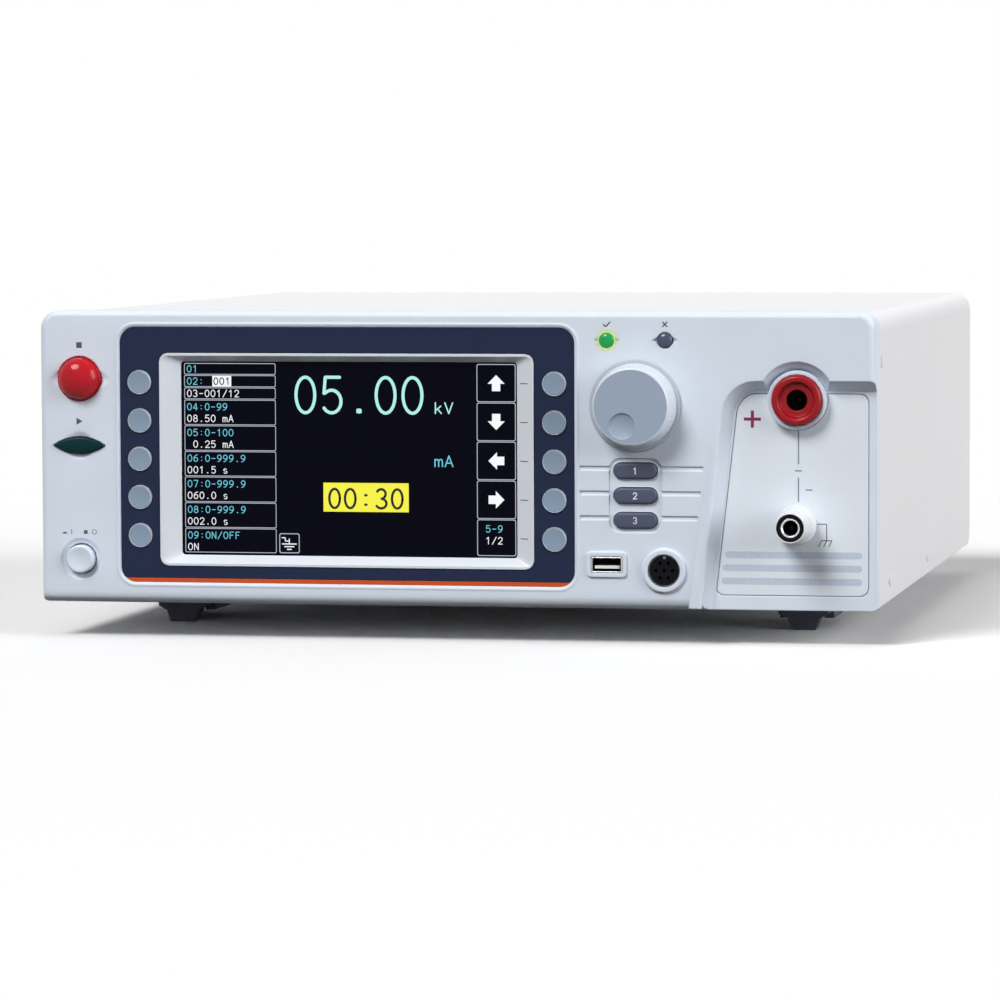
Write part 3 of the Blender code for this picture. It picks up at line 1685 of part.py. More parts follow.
def make_inlet(body_material, drawer_material):
    z = height(inlet_z)
    face = rear_face()
    flange_front = face + gap
    flange_back = flange_front + inlet_flange
    half = inlet_width / 2
    flange = rounded(inlet_x - half, inlet_x + half, z - inlet_height / 2, z + inlet_height / 2, 2.5 * mm, 3)
    inlet = prism("ac_inlet", flange, flange_front, flange_back)
    body = rect(inlet_x, z, inlet_body_width(), inlet_body_height())
    join(inlet, prism("body", body, flange_back - inlet_body_depth, flange_front + mm))
    plug_floor = flange_back - plug_depth
    cut(inlet, prism("plug", plug_outline(), plug_floor, flange_back + mm))
    drawer_z = drawer_centre_z()
    slot = rect(inlet_x, drawer_z, drawer_width + 2 * running_gap, drawer_height + 2 * running_gap)
    cut(inlet, prism("drawer_slot", slot, flange_back - drawer_depth - gap, flange_back + mm))
    pin_z = (plug_outline()[0][1] + plug_outline()[3][1]) / 2
    for x, offset in ((-7 * mm, -2 * mm), (0, 2 * mm), (7 * mm, -2 * mm)):
        pin = rect(inlet_x + x, pin_z + offset, 2 * mm, 4 * mm)
        join(inlet, prism("pin", pin, plug_floor - mm, plug_floor + pin_length))
    drawer_body = rect(inlet_x, drawer_z, drawer_width, drawer_height)
    drawer = prism("fuse_drawer", drawer_body, flange_back - drawer_depth, flange_back + drawer_proud)
    notch = rect(inlet_x, drawer_z - drawer_height / 2, 6 * mm, 3 * mm)
    cut(drawer, prism("notch", notch, flange_back + 0.3 * mm, flange_back + 4 * mm))
    fuse_bed = rect(inlet_x, drawer_z + drawer_height / 2, drawer_width - 8 * mm, 8 * mm)
    cut(drawer, prism("fuse_bed", fuse_bed, flange_back - drawer_depth + 3 * mm, flange_back - 2 * mm))
    return [
        finish(inlet, body_material),
        finish(drawer, drawer_material, (inlet_x, flange_back, drawer_z)),
    ]


def make_ground_terminal(material):
    z = height(ground_z)
    back = depth(case_depth) + rear_reach
    panel_inner = rear_face() - rear_sheet
    profile = [
        (0, panel_inner - 6 * mm),
        (ground_stud_radius, panel_inner - 6 * mm),
        (ground_stud_radius, back - 0.6 * mm),
        (ground_stud_radius - 0.6 * mm, back),
        (0, back),
    ]
    stud = turned("ground_terminal", (ground_x, 0, z), profile, steps=tiny_steps)
    hex_radius = 2 * ground_stud_radius
    for y in (panel_inner - gap - nut_sheet, rear_face() + gap):
        join(stud, cylinder("nut", ground_x, z, hex_radius, y, y + nut_sheet, 6))
    return finish(stud, material)


def signal_outline(grow=0.0):
    """The D shape of the signal connector."""
    half = signal_width / 2 - signal_end + grow
    rise = signal_height / 2 - 2.2 * mm + grow
    z = height(signal_z)
    lean = 1.4 * mm
    return [
        (signal_x - half + lean, z - rise),
        (signal_x + half - lean, z - rise),
        (signal_x + half, z + rise),
        (signal_x - half, z + rise),
    ]


def make_signal_connector(material):
    z = height(signal_z)
    face = rear_face() + gap
    plate = rounded(
        signal_x - signal_width / 2,
        signal_x + signal_width / 2,
        z - signal_height / 2,
        z + signal_height / 2,
        1.5 * mm,
        3,
    )
    shell = prism("signal_connector", plate, face, face + mm)
    join(shell, prism("shroud", signal_outline(-gap), face - signal_body_depth, face + signal_proud))
    mouth = signal_outline(-gap - signal_wall)
    cut(shell, prism("mouth", mouth, face + signal_proud - signal_sink, face + signal_proud + mm))
    for side in (-1, 1):
        x = signal_x + side * (signal_width / 2 - signal_screw_inset)
        join(shell, cylinder("post", x, z, signal_screw_radius, face + 0.5 * mm, face + signal_proud, 6))
    return finish(shell, material)


def make_network_socket(material):
    z = height(network_z)
    back = rear_face() + mm
    front = back - network_depth
    socket = prism("network_socket", rect(network_x, z, network_width, network_height), front, back)
    mouth = rect(network_x, z, network_width - 2 * network_wall, network_height - 2 * network_wall - mm)
    cut(socket, prism("mouth", mouth, front + 5 * mm, back + mm))
    latch = rect(network_x, z - network_height / 2 + 2 * mm, 4.5 * mm, 3 * mm)
    cut(socket, prism("latch", latch, front + 5 * mm, back + mm))
    return finish(socket, material)


# Assembly


def clear_scene():
    for obj in list(bpy.data.objects):
        bpy.data.objects.remove(obj)


def build():
    clear_scene()
    bezel_white = make_material("bezel_white", (0.64, 0.70, 0.77), 0.38)
    steel_white = make_material("steel_white", (0.84, 0.84, 0.85), 0.45)
    navy = make_material("navy", (0.015, 0.024, 0.065), 0.32)
    orange = make_material("orange", (0.58, 0.09, 0.02), 0.4)
    silver = make_material("silver", (0.66, 0.70, 0.76), 0.25, 0.3)
    glass = make_material("black_glass", (0.003, 0.003, 0.006), 0.08)
    key_grey = make_material("key_grey", (0.27, 0.36, 0.48), 0.4)
    slate = make_material("slate", (0.07, 0.085, 0.14), 0.45)
    red = make_material("red", (0.45, 0.012, 0.02), 0.2)
    green = make_material("green", (0.002, 0.035, 0.035), 0.25)
    lit_green = make_material("lit_green", (0.0, 0.35, 0.08), 0.2)
    pale_grey = make_material("pale_grey", (0.6, 0.67, 0.75), 0.4)
    knob_grey = make_material("knob_grey", (0.34, 0.42, 0.53), 0.4)
    black = make_material("black_plastic", (0.02, 0.02, 0.022), 0.5)
    metal = make_material("nickel", (0.7, 0.7, 0.7), 0.25, 1.0)
    zinc = make_material("zinc_steel", (0.55, 0.56, 0.58), 0.4, 1.0)
    brass = make_material("brass", (0.75, 0.55, 0.25), 0.35, 1.0)
    board_green = make_material("board_green", (0.02, 0.12, 0.05), 0.5)
    copper = make_material("copper_tape", (0.6, 0.42, 0.08), 0.45)
    foot_dark = make_material("foot_dark", (0.03, 0.034, 0.05), 0.6)

    make_bezel(bezel_white)
    make_panel(navy, orange)
    make_screen(silver, glass, zinc)
    make_soft_keys(key_grey)
    make_stop_button(red)
    make_start_button(green)
    make_power_button(pale_grey)
    make_power_switch(black)
    make_mode_buttons(slate)
    make_lamp("pass_lamp", pass_lamp_x, lit_green)
    make_lamp("fail_lamp", fail_lamp_x, slate)
    make_knob(knob_grey)
    make_encoder(black, metal)
    make_port(metal, bezel_white)
    make_remote_socket(black)
    make_terminal_plate(bezel_white)
    make_hv_socket(red, brass)
    make_return_terminal(bezel_white, black, metal)
    make_hv_socket_nut(black)
    make_cover(steel_white)
    make_chassis(zinc)
    make_subpanel(zinc)
    make_key_board(board_green)
    make_main_board(board_green)
    make_power_supply(board_green)
    make_transformer(copper)
    for side, x in (("left", -foot_x), ("right", foot_x)):
        make_front_foot(f"front_foot_{side}", x, foot_dark)
        make_tilt_leg(f"tilt_leg_{side}", x, foot_dark)
        make_rear_foot(f"rear_foot_{side}", x, foot_dark)
    make_rear_panel(zinc)
    make_fan(black, black, zinc)
    make_inlet(black, black)
    make_ground_terminal(brass)
    make_signal_connector(zinc)
    make_network_socket(zinc)


build()
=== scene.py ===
import json
import math

import bmesh
import bpy
from mathutils import Matrix, Vector

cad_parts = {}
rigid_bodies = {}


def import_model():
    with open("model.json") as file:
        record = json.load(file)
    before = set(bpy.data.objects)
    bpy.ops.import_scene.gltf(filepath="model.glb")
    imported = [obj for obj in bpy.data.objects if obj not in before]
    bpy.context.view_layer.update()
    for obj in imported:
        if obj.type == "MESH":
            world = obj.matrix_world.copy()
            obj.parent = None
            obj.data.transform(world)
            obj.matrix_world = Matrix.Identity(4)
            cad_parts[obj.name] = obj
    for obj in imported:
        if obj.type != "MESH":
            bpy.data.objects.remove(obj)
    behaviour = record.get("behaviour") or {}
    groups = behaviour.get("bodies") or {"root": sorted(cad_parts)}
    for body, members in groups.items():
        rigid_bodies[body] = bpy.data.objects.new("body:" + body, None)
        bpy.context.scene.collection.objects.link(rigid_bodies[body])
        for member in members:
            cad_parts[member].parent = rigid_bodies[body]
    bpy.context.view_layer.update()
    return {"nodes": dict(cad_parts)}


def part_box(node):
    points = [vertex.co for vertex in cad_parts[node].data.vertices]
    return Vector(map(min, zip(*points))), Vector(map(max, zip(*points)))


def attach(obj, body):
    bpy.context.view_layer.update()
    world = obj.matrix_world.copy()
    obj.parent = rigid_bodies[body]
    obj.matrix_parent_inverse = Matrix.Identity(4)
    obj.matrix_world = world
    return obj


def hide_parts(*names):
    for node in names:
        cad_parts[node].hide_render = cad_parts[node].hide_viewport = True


# A bench insulation tester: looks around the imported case. Pieces are measured in millimetres
# and turned into metres when their mesh is made.
mm = 0.001

for leftover in list(bpy.data.objects):
    bpy.data.objects.remove(leftover)

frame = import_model()
nodes = frame["nodes"]
print("frame:", len(nodes), "nodes")


class Place:
    # where a CAD node stands, in millimetres
    def __init__(self, node):
        low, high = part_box(node)
        self.low = low / mm
        self.high = high / mm
        self.x = (self.low.x + self.high.x) / 2
        self.z = (self.low.z + self.high.z) / 2
        self.centre = (self.x, self.z)
        self.half = (self.high.x - self.low.x) / 2
        self.front = self.low.y
        self.back = self.high.y


# shader kit

def operator(operation, swapped=False):
    # one arithmetic method; a swapped one serves where the socket stands on the right
    def apply(self, other):
        values = {0: other, 1: self} if swapped else {0: self, 1: other}
        return self.shading.add("ShaderNodeMath", {"operation": operation}, values)
    return apply


class Wire:
    # an output socket that can stand in a sum
    def __init__(self, shading, socket):
        self.shading = shading
        self.socket = socket

    __add__ = operator("ADD")
    __radd__ = operator("ADD", True)
    __sub__ = operator("SUBTRACT")
    __rsub__ = operator("SUBTRACT", True)
    __mul__ = operator("MULTIPLY")
    __rmul__ = operator("MULTIPLY", True)
    __pow__ = operator("POWER")
    atLeast = operator("MAXIMUM")

    def pick(self, output):
        return Wire(self.shading, self.socket.node.outputs[output])


class Shading:
    # the nodes of one material, or of the world
    def __init__(self, owner):
        owner.use_nodes = True
        self.tree = owner.node_tree
        self.nodes = self.tree.nodes

    def add(self, kind, settings=None, values=None, output=0):
        node = self.nodes.new(kind)
        for key, value in (settings or {}).items():
            setattr(node, key, value)
        for key, value in (values or {}).items():
            self.feed(node.inputs[key], value)
        return Wire(self, node.outputs[output])

    def feed(self, socket, value):
        if isinstance(value, Wire):
            self.tree.links.new(value.socket, socket)
        else:
            socket.default_value = value

    def set(self, **values):
        # spaces in the shader's socket names are written as _
        for key, value in values.items():
            self.feed(self.nodes["Principled BSDF"].inputs[key.replace("_", " ")], value)

    def place(self):
        return self.add("ShaderNodeTexCoord", output="Object")

    def noise(self, scale, detail=2.0, roughness=0.5, where=None):
        values = {"Vector": where or self.place(), "Scale": scale, "Detail": detail, "Roughness": roughness}
        return self.add("ShaderNodeTexNoise", {}, values)

    def blend(self, factor, first, second):
        return self.add("ShaderNodeMix", {"data_type": "RGBA"}, {0: factor, 6: first, 7: second}, 2)

    def vector(self, operation, first, second, output=0):
        return self.add("ShaderNodeVectorMath", {"operation": operation}, {0: first, 1: second}, output)

    def ramp(self, value, low, high):
        return self.add("ShaderNodeMapRange", {}, {0: value, 1: low, 2: high, 3: 0.0, 4: 1.0})

    def softEdge(self, radius):
        # the radius and the distance of a bump are in millimetres
        return self.add("ShaderNodeBevel", {"samples": 6}, {"Radius": radius * mm})

    def bump(self, height, distance, strength, normal=None):
        values = {"Strength": strength, "Distance": distance * mm, "Height": height}
        if normal is not None:
            values["Normal"] = normal
        return self.add("ShaderNodeBump", {}, values)

    def edgeMask(self, soft):
        # 0 on flat ground, towards 1 where the surface turns quickly
        flat = self.add("ShaderNodeNewGeometry", output="Normal")
        return self.ramp(1 - self.vector("DOT_PRODUCT", soft, flat, "Value"), 0.01, 0.22)

    def seenRays(self):
        # 1 for what the camera sees, straight, mirrored or through glass
        rays = self.add("ShaderNodeLightPath", output="Is Camera Ray")
        return rays.atLeast(rays.pick("Is Glossy Ray")).atLeast(rays.pick("Is Transmission Ray"))


finishes = {}


def newFinish(name):
    finishes[name] = bpy.data.materials.new(name)
    return Shading(finishes[name])


def rgba(colour, share=1.0):
    return tuple(min(1.0, part * share) for part in colour) + (1.0,)


def grey(level):
    return (level, level, level, 1)


# scale, detail and roughness of each noise, then how much it does
mouldedLook = {
    "cloud": (38, 3),
    "pores": (1900, 2, 0.6),
    "wearAndSheenPatches": (160, 2),
    "toneRange": (0.35, 0.65),
    "tones": (0.985, 1.015),
    "wearAndSheen": 0.7,
    "cloudRough": 0.12,
    "poreRough": 0.08,
    "strength": 0.6,
}
powderLook = {
    "cloud": (14, 3),
    "pores": (900, 3, 0.55),
    "wearAndSheenPatches": (210, 3),
    "toneRange": (0.3, 0.7),
    "tones": (0.985, 1.01),
    "wearAndSheen": 0.5,
    "cloudRough": 0.06,
    "poreRough": 0.1,
    "strength": 0.55,
}


def plastic(name, colour, roughness, grain, edge, coat=0.0, wearAndSheenTone=1.12, mirror=0.5, look=mouldedLook):
    finish = newFinish(name)
    cloud, pores, wearAndSheenPatches = (finish.noise(*look[key]) for key in ("cloud", "pores", "wearAndSheenPatches"))
    soft = finish.softEdge(edge)
    # edges take another tone in patches: partly wear, partly a painted highlight on the rounded edges; a tone
    # below 1 makes them darker
    wearAndSheen = finish.edgeMask(soft) * wearAndSheenPatches
    tones = (rgba(colour, share) for share in look["tones"])
    tone = finish.blend(finish.ramp(cloud, *look["toneRange"]), *tones)
    finish.set(
        Base_Color=finish.blend(look["wearAndSheen"] * wearAndSheen, tone, rgba(colour, wearAndSheenTone)),
        Roughness=roughness + (cloud - 0.5) * look["cloudRough"] + (pores - 0.5) * look["poreRough"],
        Normal=finish.bump(pores, grain, look["strength"], soft),
        Specular_IOR_Level=mirror,
        Coat_Weight=coat,
        Coat_Roughness=0.12,
    )


def sheetMetal(name, colour, roughness, along=(20, 200, 20), spangle=0.0, edge=0.3):
    finish = newFinish(name)
    drawn = finish.noise(scale=10, detail=3, where=finish.vector("MULTIPLY", finish.place(), along))
    patches = finish.noise(scale=240)
    finish.set(
        Base_Color=finish.blend(finish.ramp(patches, 0.3, 0.7), rgba(colour, 0.98), rgba(colour, 1.02)),
        Metallic=1.0,
        Roughness=roughness + (drawn - 0.5) * 0.14 + (patches - 0.5) * spangle,
        Normal=finish.bump(drawn, 0.01, 0.5, finish.softEdge(edge)),
    )


def rubberLike(name, colour, roughness=0.62, edge=0.5):
    finish = newFinish(name)
    grit = finish.noise(scale=1500, detail=3, roughness=0.7)
    scuff = finish.noise(scale=90, detail=4, roughness=0.6)
    dusty = 0.35 * finish.ramp(scuff, 0.52, 0.72)
    finish.set(
        Base_Color=finish.blend(dusty, rgba(colour), rgba(colour, 1.6)),
        Roughness=roughness + (scuff - 0.5) * 0.2,
        Normal=finish.bump(grit, 0.03, 0.7, finish.softEdge(edge)),
    )


def boardFinish(name, colour):
    finish = newFinish(name)
    weave = finish.add("ShaderNodeTexBrick", {"offset": 0.5}, {
        "Vector": finish.place(), "Scale": 140, "Color1": rgba(colour), "Color2": rgba(colour, 0.8),
        "Mortar": rgba((0.25, 0.32, 0.14)), "Mortar Size": 0.012,
    })
    finish.set(
        Base_Color=weave,
        Roughness=0.35 + finish.noise(scale=60) * 0.15,
        Normal=finish.bump(finish.noise(scale=500), 0.02, 0.4),
    )


def glow(name, colour):
    # lit figures under the screen's glass: dark ground that shines and a soft grain of dots
    finish = newFinish(name)
    dots = finish.ramp(finish.noise(scale=2600, detail=1), 0.2, 0.5)
    finish.set(
        Base_Color=rgba((0.004, 0.004, 0.008)),
        Roughness=0.16,
        Emission_Color=finish.blend(dots, rgba(colour, 0.9), rgba(colour)),
        Emission_Strength=1.0,
    )


def printedInk(name, colour, roughness=0.45):
    finish = newFinish(name)
    thin = finish.noise(scale=2400)
    finish.set(
        Base_Color=finish.blend(finish.ramp(thin, 0.45, 0.75), rgba(colour), rgba(colour, 1.25)),
        Roughness=roughness + (thin - 0.5) * 0.1,
        Normal=finish.bump(thin, 0.01, 0.3),
    )


def screenGlass(name):
    finish = newFinish(name)
    smear = finish.noise(scale=25, detail=3)
    finish.set(
        Base_Color=finish.blend(smear, rgba((0.0016, 0.0014, 0.006)), rgba((0.002, 0.002, 0.008))),
        Roughness=0.16 + smear * 0.08,
        Specular_IOR_Level=0.035,
    )


def litLamp(name):
    finish = newFinish(name)
    core = finish.noise(scale=300)
    finish.set(
        Base_Color=rgba((0.0, 0.20, 0.05)),
        Roughness=0.14 + core * 0.05,
        Specular_IOR_Level=0.35,
        Emission_Color=finish.blend(core, rgba((0.0, 0.17, 0.04)), rgba((0.004, 0.28, 0.06))),
        Emission_Strength=0.6,
    )


# the ring of light: its depth behind the lamp's front and where it starts and stops to fade
halo = {"depth": 1.28, "start": 3.4, "end": 5.6, "gap": 0.05, "steps": 56}


def lampHalo(name):
    # the lit lamp shines on the white round it, less and less with the distance from its middle
    finish = newFinish(name)
    lamp = Place("pass_lamp")
    middle = Vector((lamp.x, lamp.front + halo["depth"], lamp.z)) * mm
    away = finish.vector("DISTANCE", finish.place(), middle, "Value")
    near = 1 - finish.ramp(away, halo["start"] * mm, halo["end"] * mm)
    finish.set(
        Base_Color=rgba((0.86, 0.95, 0.36)),
        Roughness=0.5,
        Specular_IOR_Level=0.1,
        Emission_Color=finish.blend(near, rgba((0.0, 0.0, 0.0)), rgba((0.06, 0.12, 0.0))),
        Emission_Strength=1.0,
        Alpha=near ** 1.4 * 0.95,
    )


# finishes of this object: colour, roughness, depth of the grain and radius of the edges

# the edge tone given by name lightens edges with a painted highlight, partly wear; below 1 it darkens them
plastic("bezelWhite", (0.71, 0.775, 0.87), 0.4, 0.012, 0.85, wearAndSheenTone=1.25, mirror=0.3)
plastic("plateWhite", (0.75, 0.805, 0.87), 0.34, 0.008, 0.4, wearAndSheenTone=1.1)
plastic("terminalWhite", (0.78, 0.80, 0.84), 0.26, 0.006, 0.3, wearAndSheenTone=1.1)
plastic("coverWhite", (0.82, 0.82, 0.835), 0.5, 0.018, 0.5, wearAndSheenTone=0.9, mirror=0.14, look=powderLook)
plastic("fasciaNavy", (0.012, 0.02, 0.055), 0.34, 0.006, 0.3, wearAndSheenTone=2.2, mirror=0.16)
plastic("trimOrange", (0.62, 0.085, 0.02), 0.34, 0.006, 0.3, mirror=0.2)
plastic("frameSilver", (0.70, 0.74, 0.805), 0.24, 0.005, 0.35, coat=0.35)
plastic("keyGrey", (0.245, 0.325, 0.435), 0.36, 0.012, 0.15, wearAndSheenTone=1.3, mirror=0.4)
plastic("keyRim", (0.60, 0.66, 0.74), 0.3, 0.006, 0.1)
plastic("modeSlate", (0.074, 0.087, 0.142), 0.36, 0.01, 0.15, wearAndSheenTone=1.5, mirror=0.28)
plastic("knobBlue", (0.33, 0.40, 0.51), 0.38, 0.012, 0.15, wearAndSheenTone=1.15, mirror=0.4)
plastic("knobSide", (0.66, 0.72, 0.80), 0.32, 0.01, 0.15, wearAndSheenTone=1.15)
plastic("knobSkirt", (0.43, 0.48, 0.55), 0.26, 0.006, 0.15, coat=0.15)
plastic("stopRed", (0.5, 0.003, 0.012), 0.14, 0.003, 0.1, mirror=0.22)
plastic("startGreen", (0.001, 0.026, 0.028), 0.3, 0.004, 0.1, wearAndSheenTone=1.8, mirror=0.1)
plastic("powerPale", (0.68, 0.75, 0.84), 0.3, 0.01, 0.15)
plastic("socketRed", (0.33, 0.004, 0.01), 0.26, 0.006, 0.15, mirror=0.25)
# the walls of the HV socket's deep hole, painted near black for their shade
plastic("socketPitShade", (0.012, 0.002, 0.003), 0.5, 0.01, 0.1, mirror=0.1)
plastic("lampDark", (0.05, 0.062, 0.12), 0.2, 0.002, 0.1, coat=0.3, mirror=0.3)
plastic("blackPlastic", (0.01, 0.01, 0.012), 0.42, 0.02, 0.3, wearAndSheenTone=2.5, mirror=0.25)
# near black: the real black of the round insert and the terminal's sleeve, and painted shade inside the pits
# and bores
plastic("blackAndPitShade", (0.003, 0.003, 0.004), 0.6, 0.01, 0.1, mirror=0.08)
plastic("windingTape", (0.6, 0.4, 0.07), 0.36, 0.02, 0.4)
rubberLike("footDark", (0.06, 0.063, 0.09))
boardFinish("boardGreen", (0.015, 0.12, 0.045))
sheetMetal("zincSheet", (0.62, 0.63, 0.66), 0.36, (6, 6, 300), spangle=0.1)
sheetMetal("nickel", (0.72, 0.72, 0.74), 0.22)
sheetMetal("dullMetal", (0.12, 0.12, 0.13), 0.4)
# contacts deep in the bores, painted near black for the shade they lie in
sheetMetal("metalInPaintedShade", (0.006, 0.006, 0.008), 0.5)
sheetMetal("brass", (0.78, 0.56, 0.24), 0.28, (200, 20, 200))
printedInk("inkDark", (0.055, 0.06, 0.075))
printedInk("inkWhite", (0.82, 0.84, 0.88))
printedInk("inkRed", (0.20, 0.006, 0.05))
printedInk("inkGrey", (0.19, 0.21, 0.25))
printedInk("barGrey", (0.50, 0.568, 0.665))
glow("glowWhite", (0.9, 0.93, 0.95))
glow("glowLine", (0.42, 0.46, 0.52))
glow("glowCyan", (0.13, 0.58, 0.72))
glow("glowPale", (0.42, 0.85, 0.80))
glow("glowYellow", (0.9, 0.86, 0.03))
glow("glowBlack", (0.002, 0.002, 0.004))
screenGlass("screenGlass")
litLamp("lampGreen")
lampHalo("lampHalo")
print("finishes:", len(finishes))


# mesh kit

def newObject(name, bm, material):
    bmesh.ops.scale(bm, vec=(mm, mm, mm), verts=bm.verts)
    mesh = bpy.data.meshes.new(name)
    bm.to_mesh(mesh)
    bm.free()
    mesh.materials.append(material)
    obj = bpy.data.objects.new(name, mesh)
    bpy.context.scene.collection.objects.link(obj)
    return obj


def addPiece(name, bm, finish, body="case", replaces=(), sharp=38):
    bmesh.ops.recalc_face_normals(bm, faces=bm.faces)
    obj = newObject(name, bm, finishes[finish])
    obj.data.shade_smooth()
    obj.data.set_sharp_from_angle(angle=math.radians(sharp))
    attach(obj, body)
    if replaces:
        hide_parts(*replaces)


def bow(x, z, wide, tall, start, end, steps=14):
    # part of an ellipse, between two angles
    turns = [math.radians(start + (end - start) * step / steps) for step in range(steps + 1)]
    return [(x + wide * math.cos(a), z + tall * math.sin(a)) for a in turns]


def arc(x, z, radius, start, end, steps):
    return bow(x, z, radius, radius, start, end, steps)


def circle(x, z, radius, steps):
    return arc(x, z, radius, 0, 360, steps)[:-1]


def roundedBox(left, right, low, high, radius, steps=8):
    radius = max(radius, 0.05)
    points = arc(right - radius, low + radius, radius, -90, 0, steps)
    points += arc(right - radius, high - radius, radius, 0, 90, steps)
    points += arc(left + radius, high - radius, radius, 90, 180, steps)
    points += arc(left + radius, low + radius, radius, 180, 270, steps)
    return points


def roundedBar(x, z, halfWide, halfTall, radius, steps):
    return roundedBox(x - halfWide, x + halfWide, z - halfTall, z + halfTall, radius, steps)


def capsule(x, z, wide, tall, grow, steps=14):
    radius = tall / 2 + grow
    middle = (wide - tall) / 2
    return arc(x + middle, z, radius, -90, 90, steps) + arc(x - middle, z, radius, 90, 270, steps)


def lens(x, z, half, rise, steps=24):
    # two equal arcs that meet in points left and right
    radius = (half * half + rise * rise) / (2 * rise)
    sweep = math.degrees(math.asin(half / radius))
    upper = arc(x, z + rise - radius, radius, 90 - sweep, 90 + sweep, steps)
    lower = arc(x, z - rise + radius, radius, 270 - sweep, 270 + sweep, steps)
    return upper[:-1] + lower[:-1]


def dish(radius, rim, depth, steps=10):
    # from the middle out: a shallow hollow that ends at the rim
    shares = [step / steps for step in range(steps + 1)]
    return [(radius * share, rim + depth * (1 - share * share)) for share in shares]


def softened(points, steps=4):
    # corners given as (x, y, fillet) become short curves
    result = []
    for index, (x, y, fillet) in enumerate(points):
        if not fillet or index in (0, len(points) - 1):
            result.append((x, y))
            continue
        here = Vector((x, y))
        before = Vector(points[index - 1][:2]) - here
        after = Vector(points[index + 1][:2]) - here
        start = here + before.normalized() * min(fillet, before.length * 0.48)
        end = here + after.normalized() * min(fillet, after.length * 0.48)
        for step in range(steps + 1):
            t = step / steps
            result.append(tuple(start * (1 - t) ** 2 + here * 2 * t * (1 - t) + end * t * t))
    return result


def behind(front, profile):
    # moves a profile of (radius, depth) to where the piece's front is
    return [(radius, front + depth) for radius, depth in profile]


def inward(radius, front, profile):
    # the same for rows that say how far in from the radius a point lies
    return [(radius - inset, front + depth) for inset, depth in profile]


def atDepth(outline, y):
    return [(x, y, z) for x, z in outline]


def levels(front, rows, outline):
    # each row holds what the outline takes and, last, the depth behind the front
    return [atDepth(outline(*row[:-1]), front + row[-1]) for row in rows]


def around(ring):
    # the pairs of neighbours in a closed ring
    return zip(ring, ring[1:] + ring[:1])


def skin(bm, rings):
    # a ring whose entries are one and the same vertex closes the form in a point
    for near, far in zip(rings, rings[1:]):
        for (first, second), (fourth, third) in zip(around(near), around(far)):
            unique = list(dict.fromkeys((first, second, third, fourth)))
            if len(unique) > 2:
                bm.faces.new(unique)


def lathe(bm, centre, profile, steps):
    # profile points are (radius, y); the axis runs along Y through the centre (x, z)
    rings = []
    for radius, y in profile:
        if radius < 1e-7:
            rings.append([bm.verts.new((centre[0], y, centre[1]))] * steps)
        else:
            rings.append([bm.verts.new(point) for point in atDepth(circle(*centre, radius, steps), y)])
    skin(bm, rings)
    return rings


def stack(bm, sections, closeStart=False, closeEnd=False):
    # joins rings of points that all have the same count
    rings = [[bm.verts.new(point) for point in section] for section in sections]
    skin(bm, rings)
    if closeStart:
        bm.faces.new(rings[0])
    if closeEnd:
        bm.faces.new(rings[-1])


def fillFace(bm, outline, y, rims, normal):
    # a flat face between an outline and the first rings of its hollows
    rim = [bm.verts.new(point) for point in atDepth(outline, y)]
    edges = [bm.edges.new(pair) for pair in around(rim)]
    for ring in rims:
        edges += [bm.edges.get(pair) for pair in around(ring)]
    bmesh.ops.triangle_fill(bm, edges=edges, use_beauty=True, normal=(0, normal, 0))
    return rim


bore = {"chamfer": 0.12, "taper": 0.1, "share": 1.1}


def pierced(bm, outline, holes, radius, y, deep, steps=20):
    # a block whose face at y has round holes; deep is negative where the face looks to the rear
    away = 1 if deep > 0 else -1
    wall = radius - bore["taper"]
    floor = y + deep * bore["share"]
    profile = [(radius, y), (wall, y + away * bore["chamfer"]), (wall, floor), (0, floor)]
    rims = [lathe(bm, hole, profile, steps)[0] for hole in holes]
    rim = fillFace(bm, outline, y, rims, -away)
    skin(bm, [rim, [bm.verts.new(point) for point in atDepth(outline, y + deep)]])


def addLathe(name, centre, profile, steps, finish, body="case", replaces=()):
    bm = bmesh.new()
    lathe(bm, centre, profile, steps)
    addPiece(name, bm, finish, body, replaces)


def addStack(name, sections, finish, body="case", replaces=(), closeStart=False, closeEnd=False):
    bm = bmesh.new()
    stack(bm, sections, closeStart, closeEnd)
    addPiece(name, bm, finish, body, replaces)


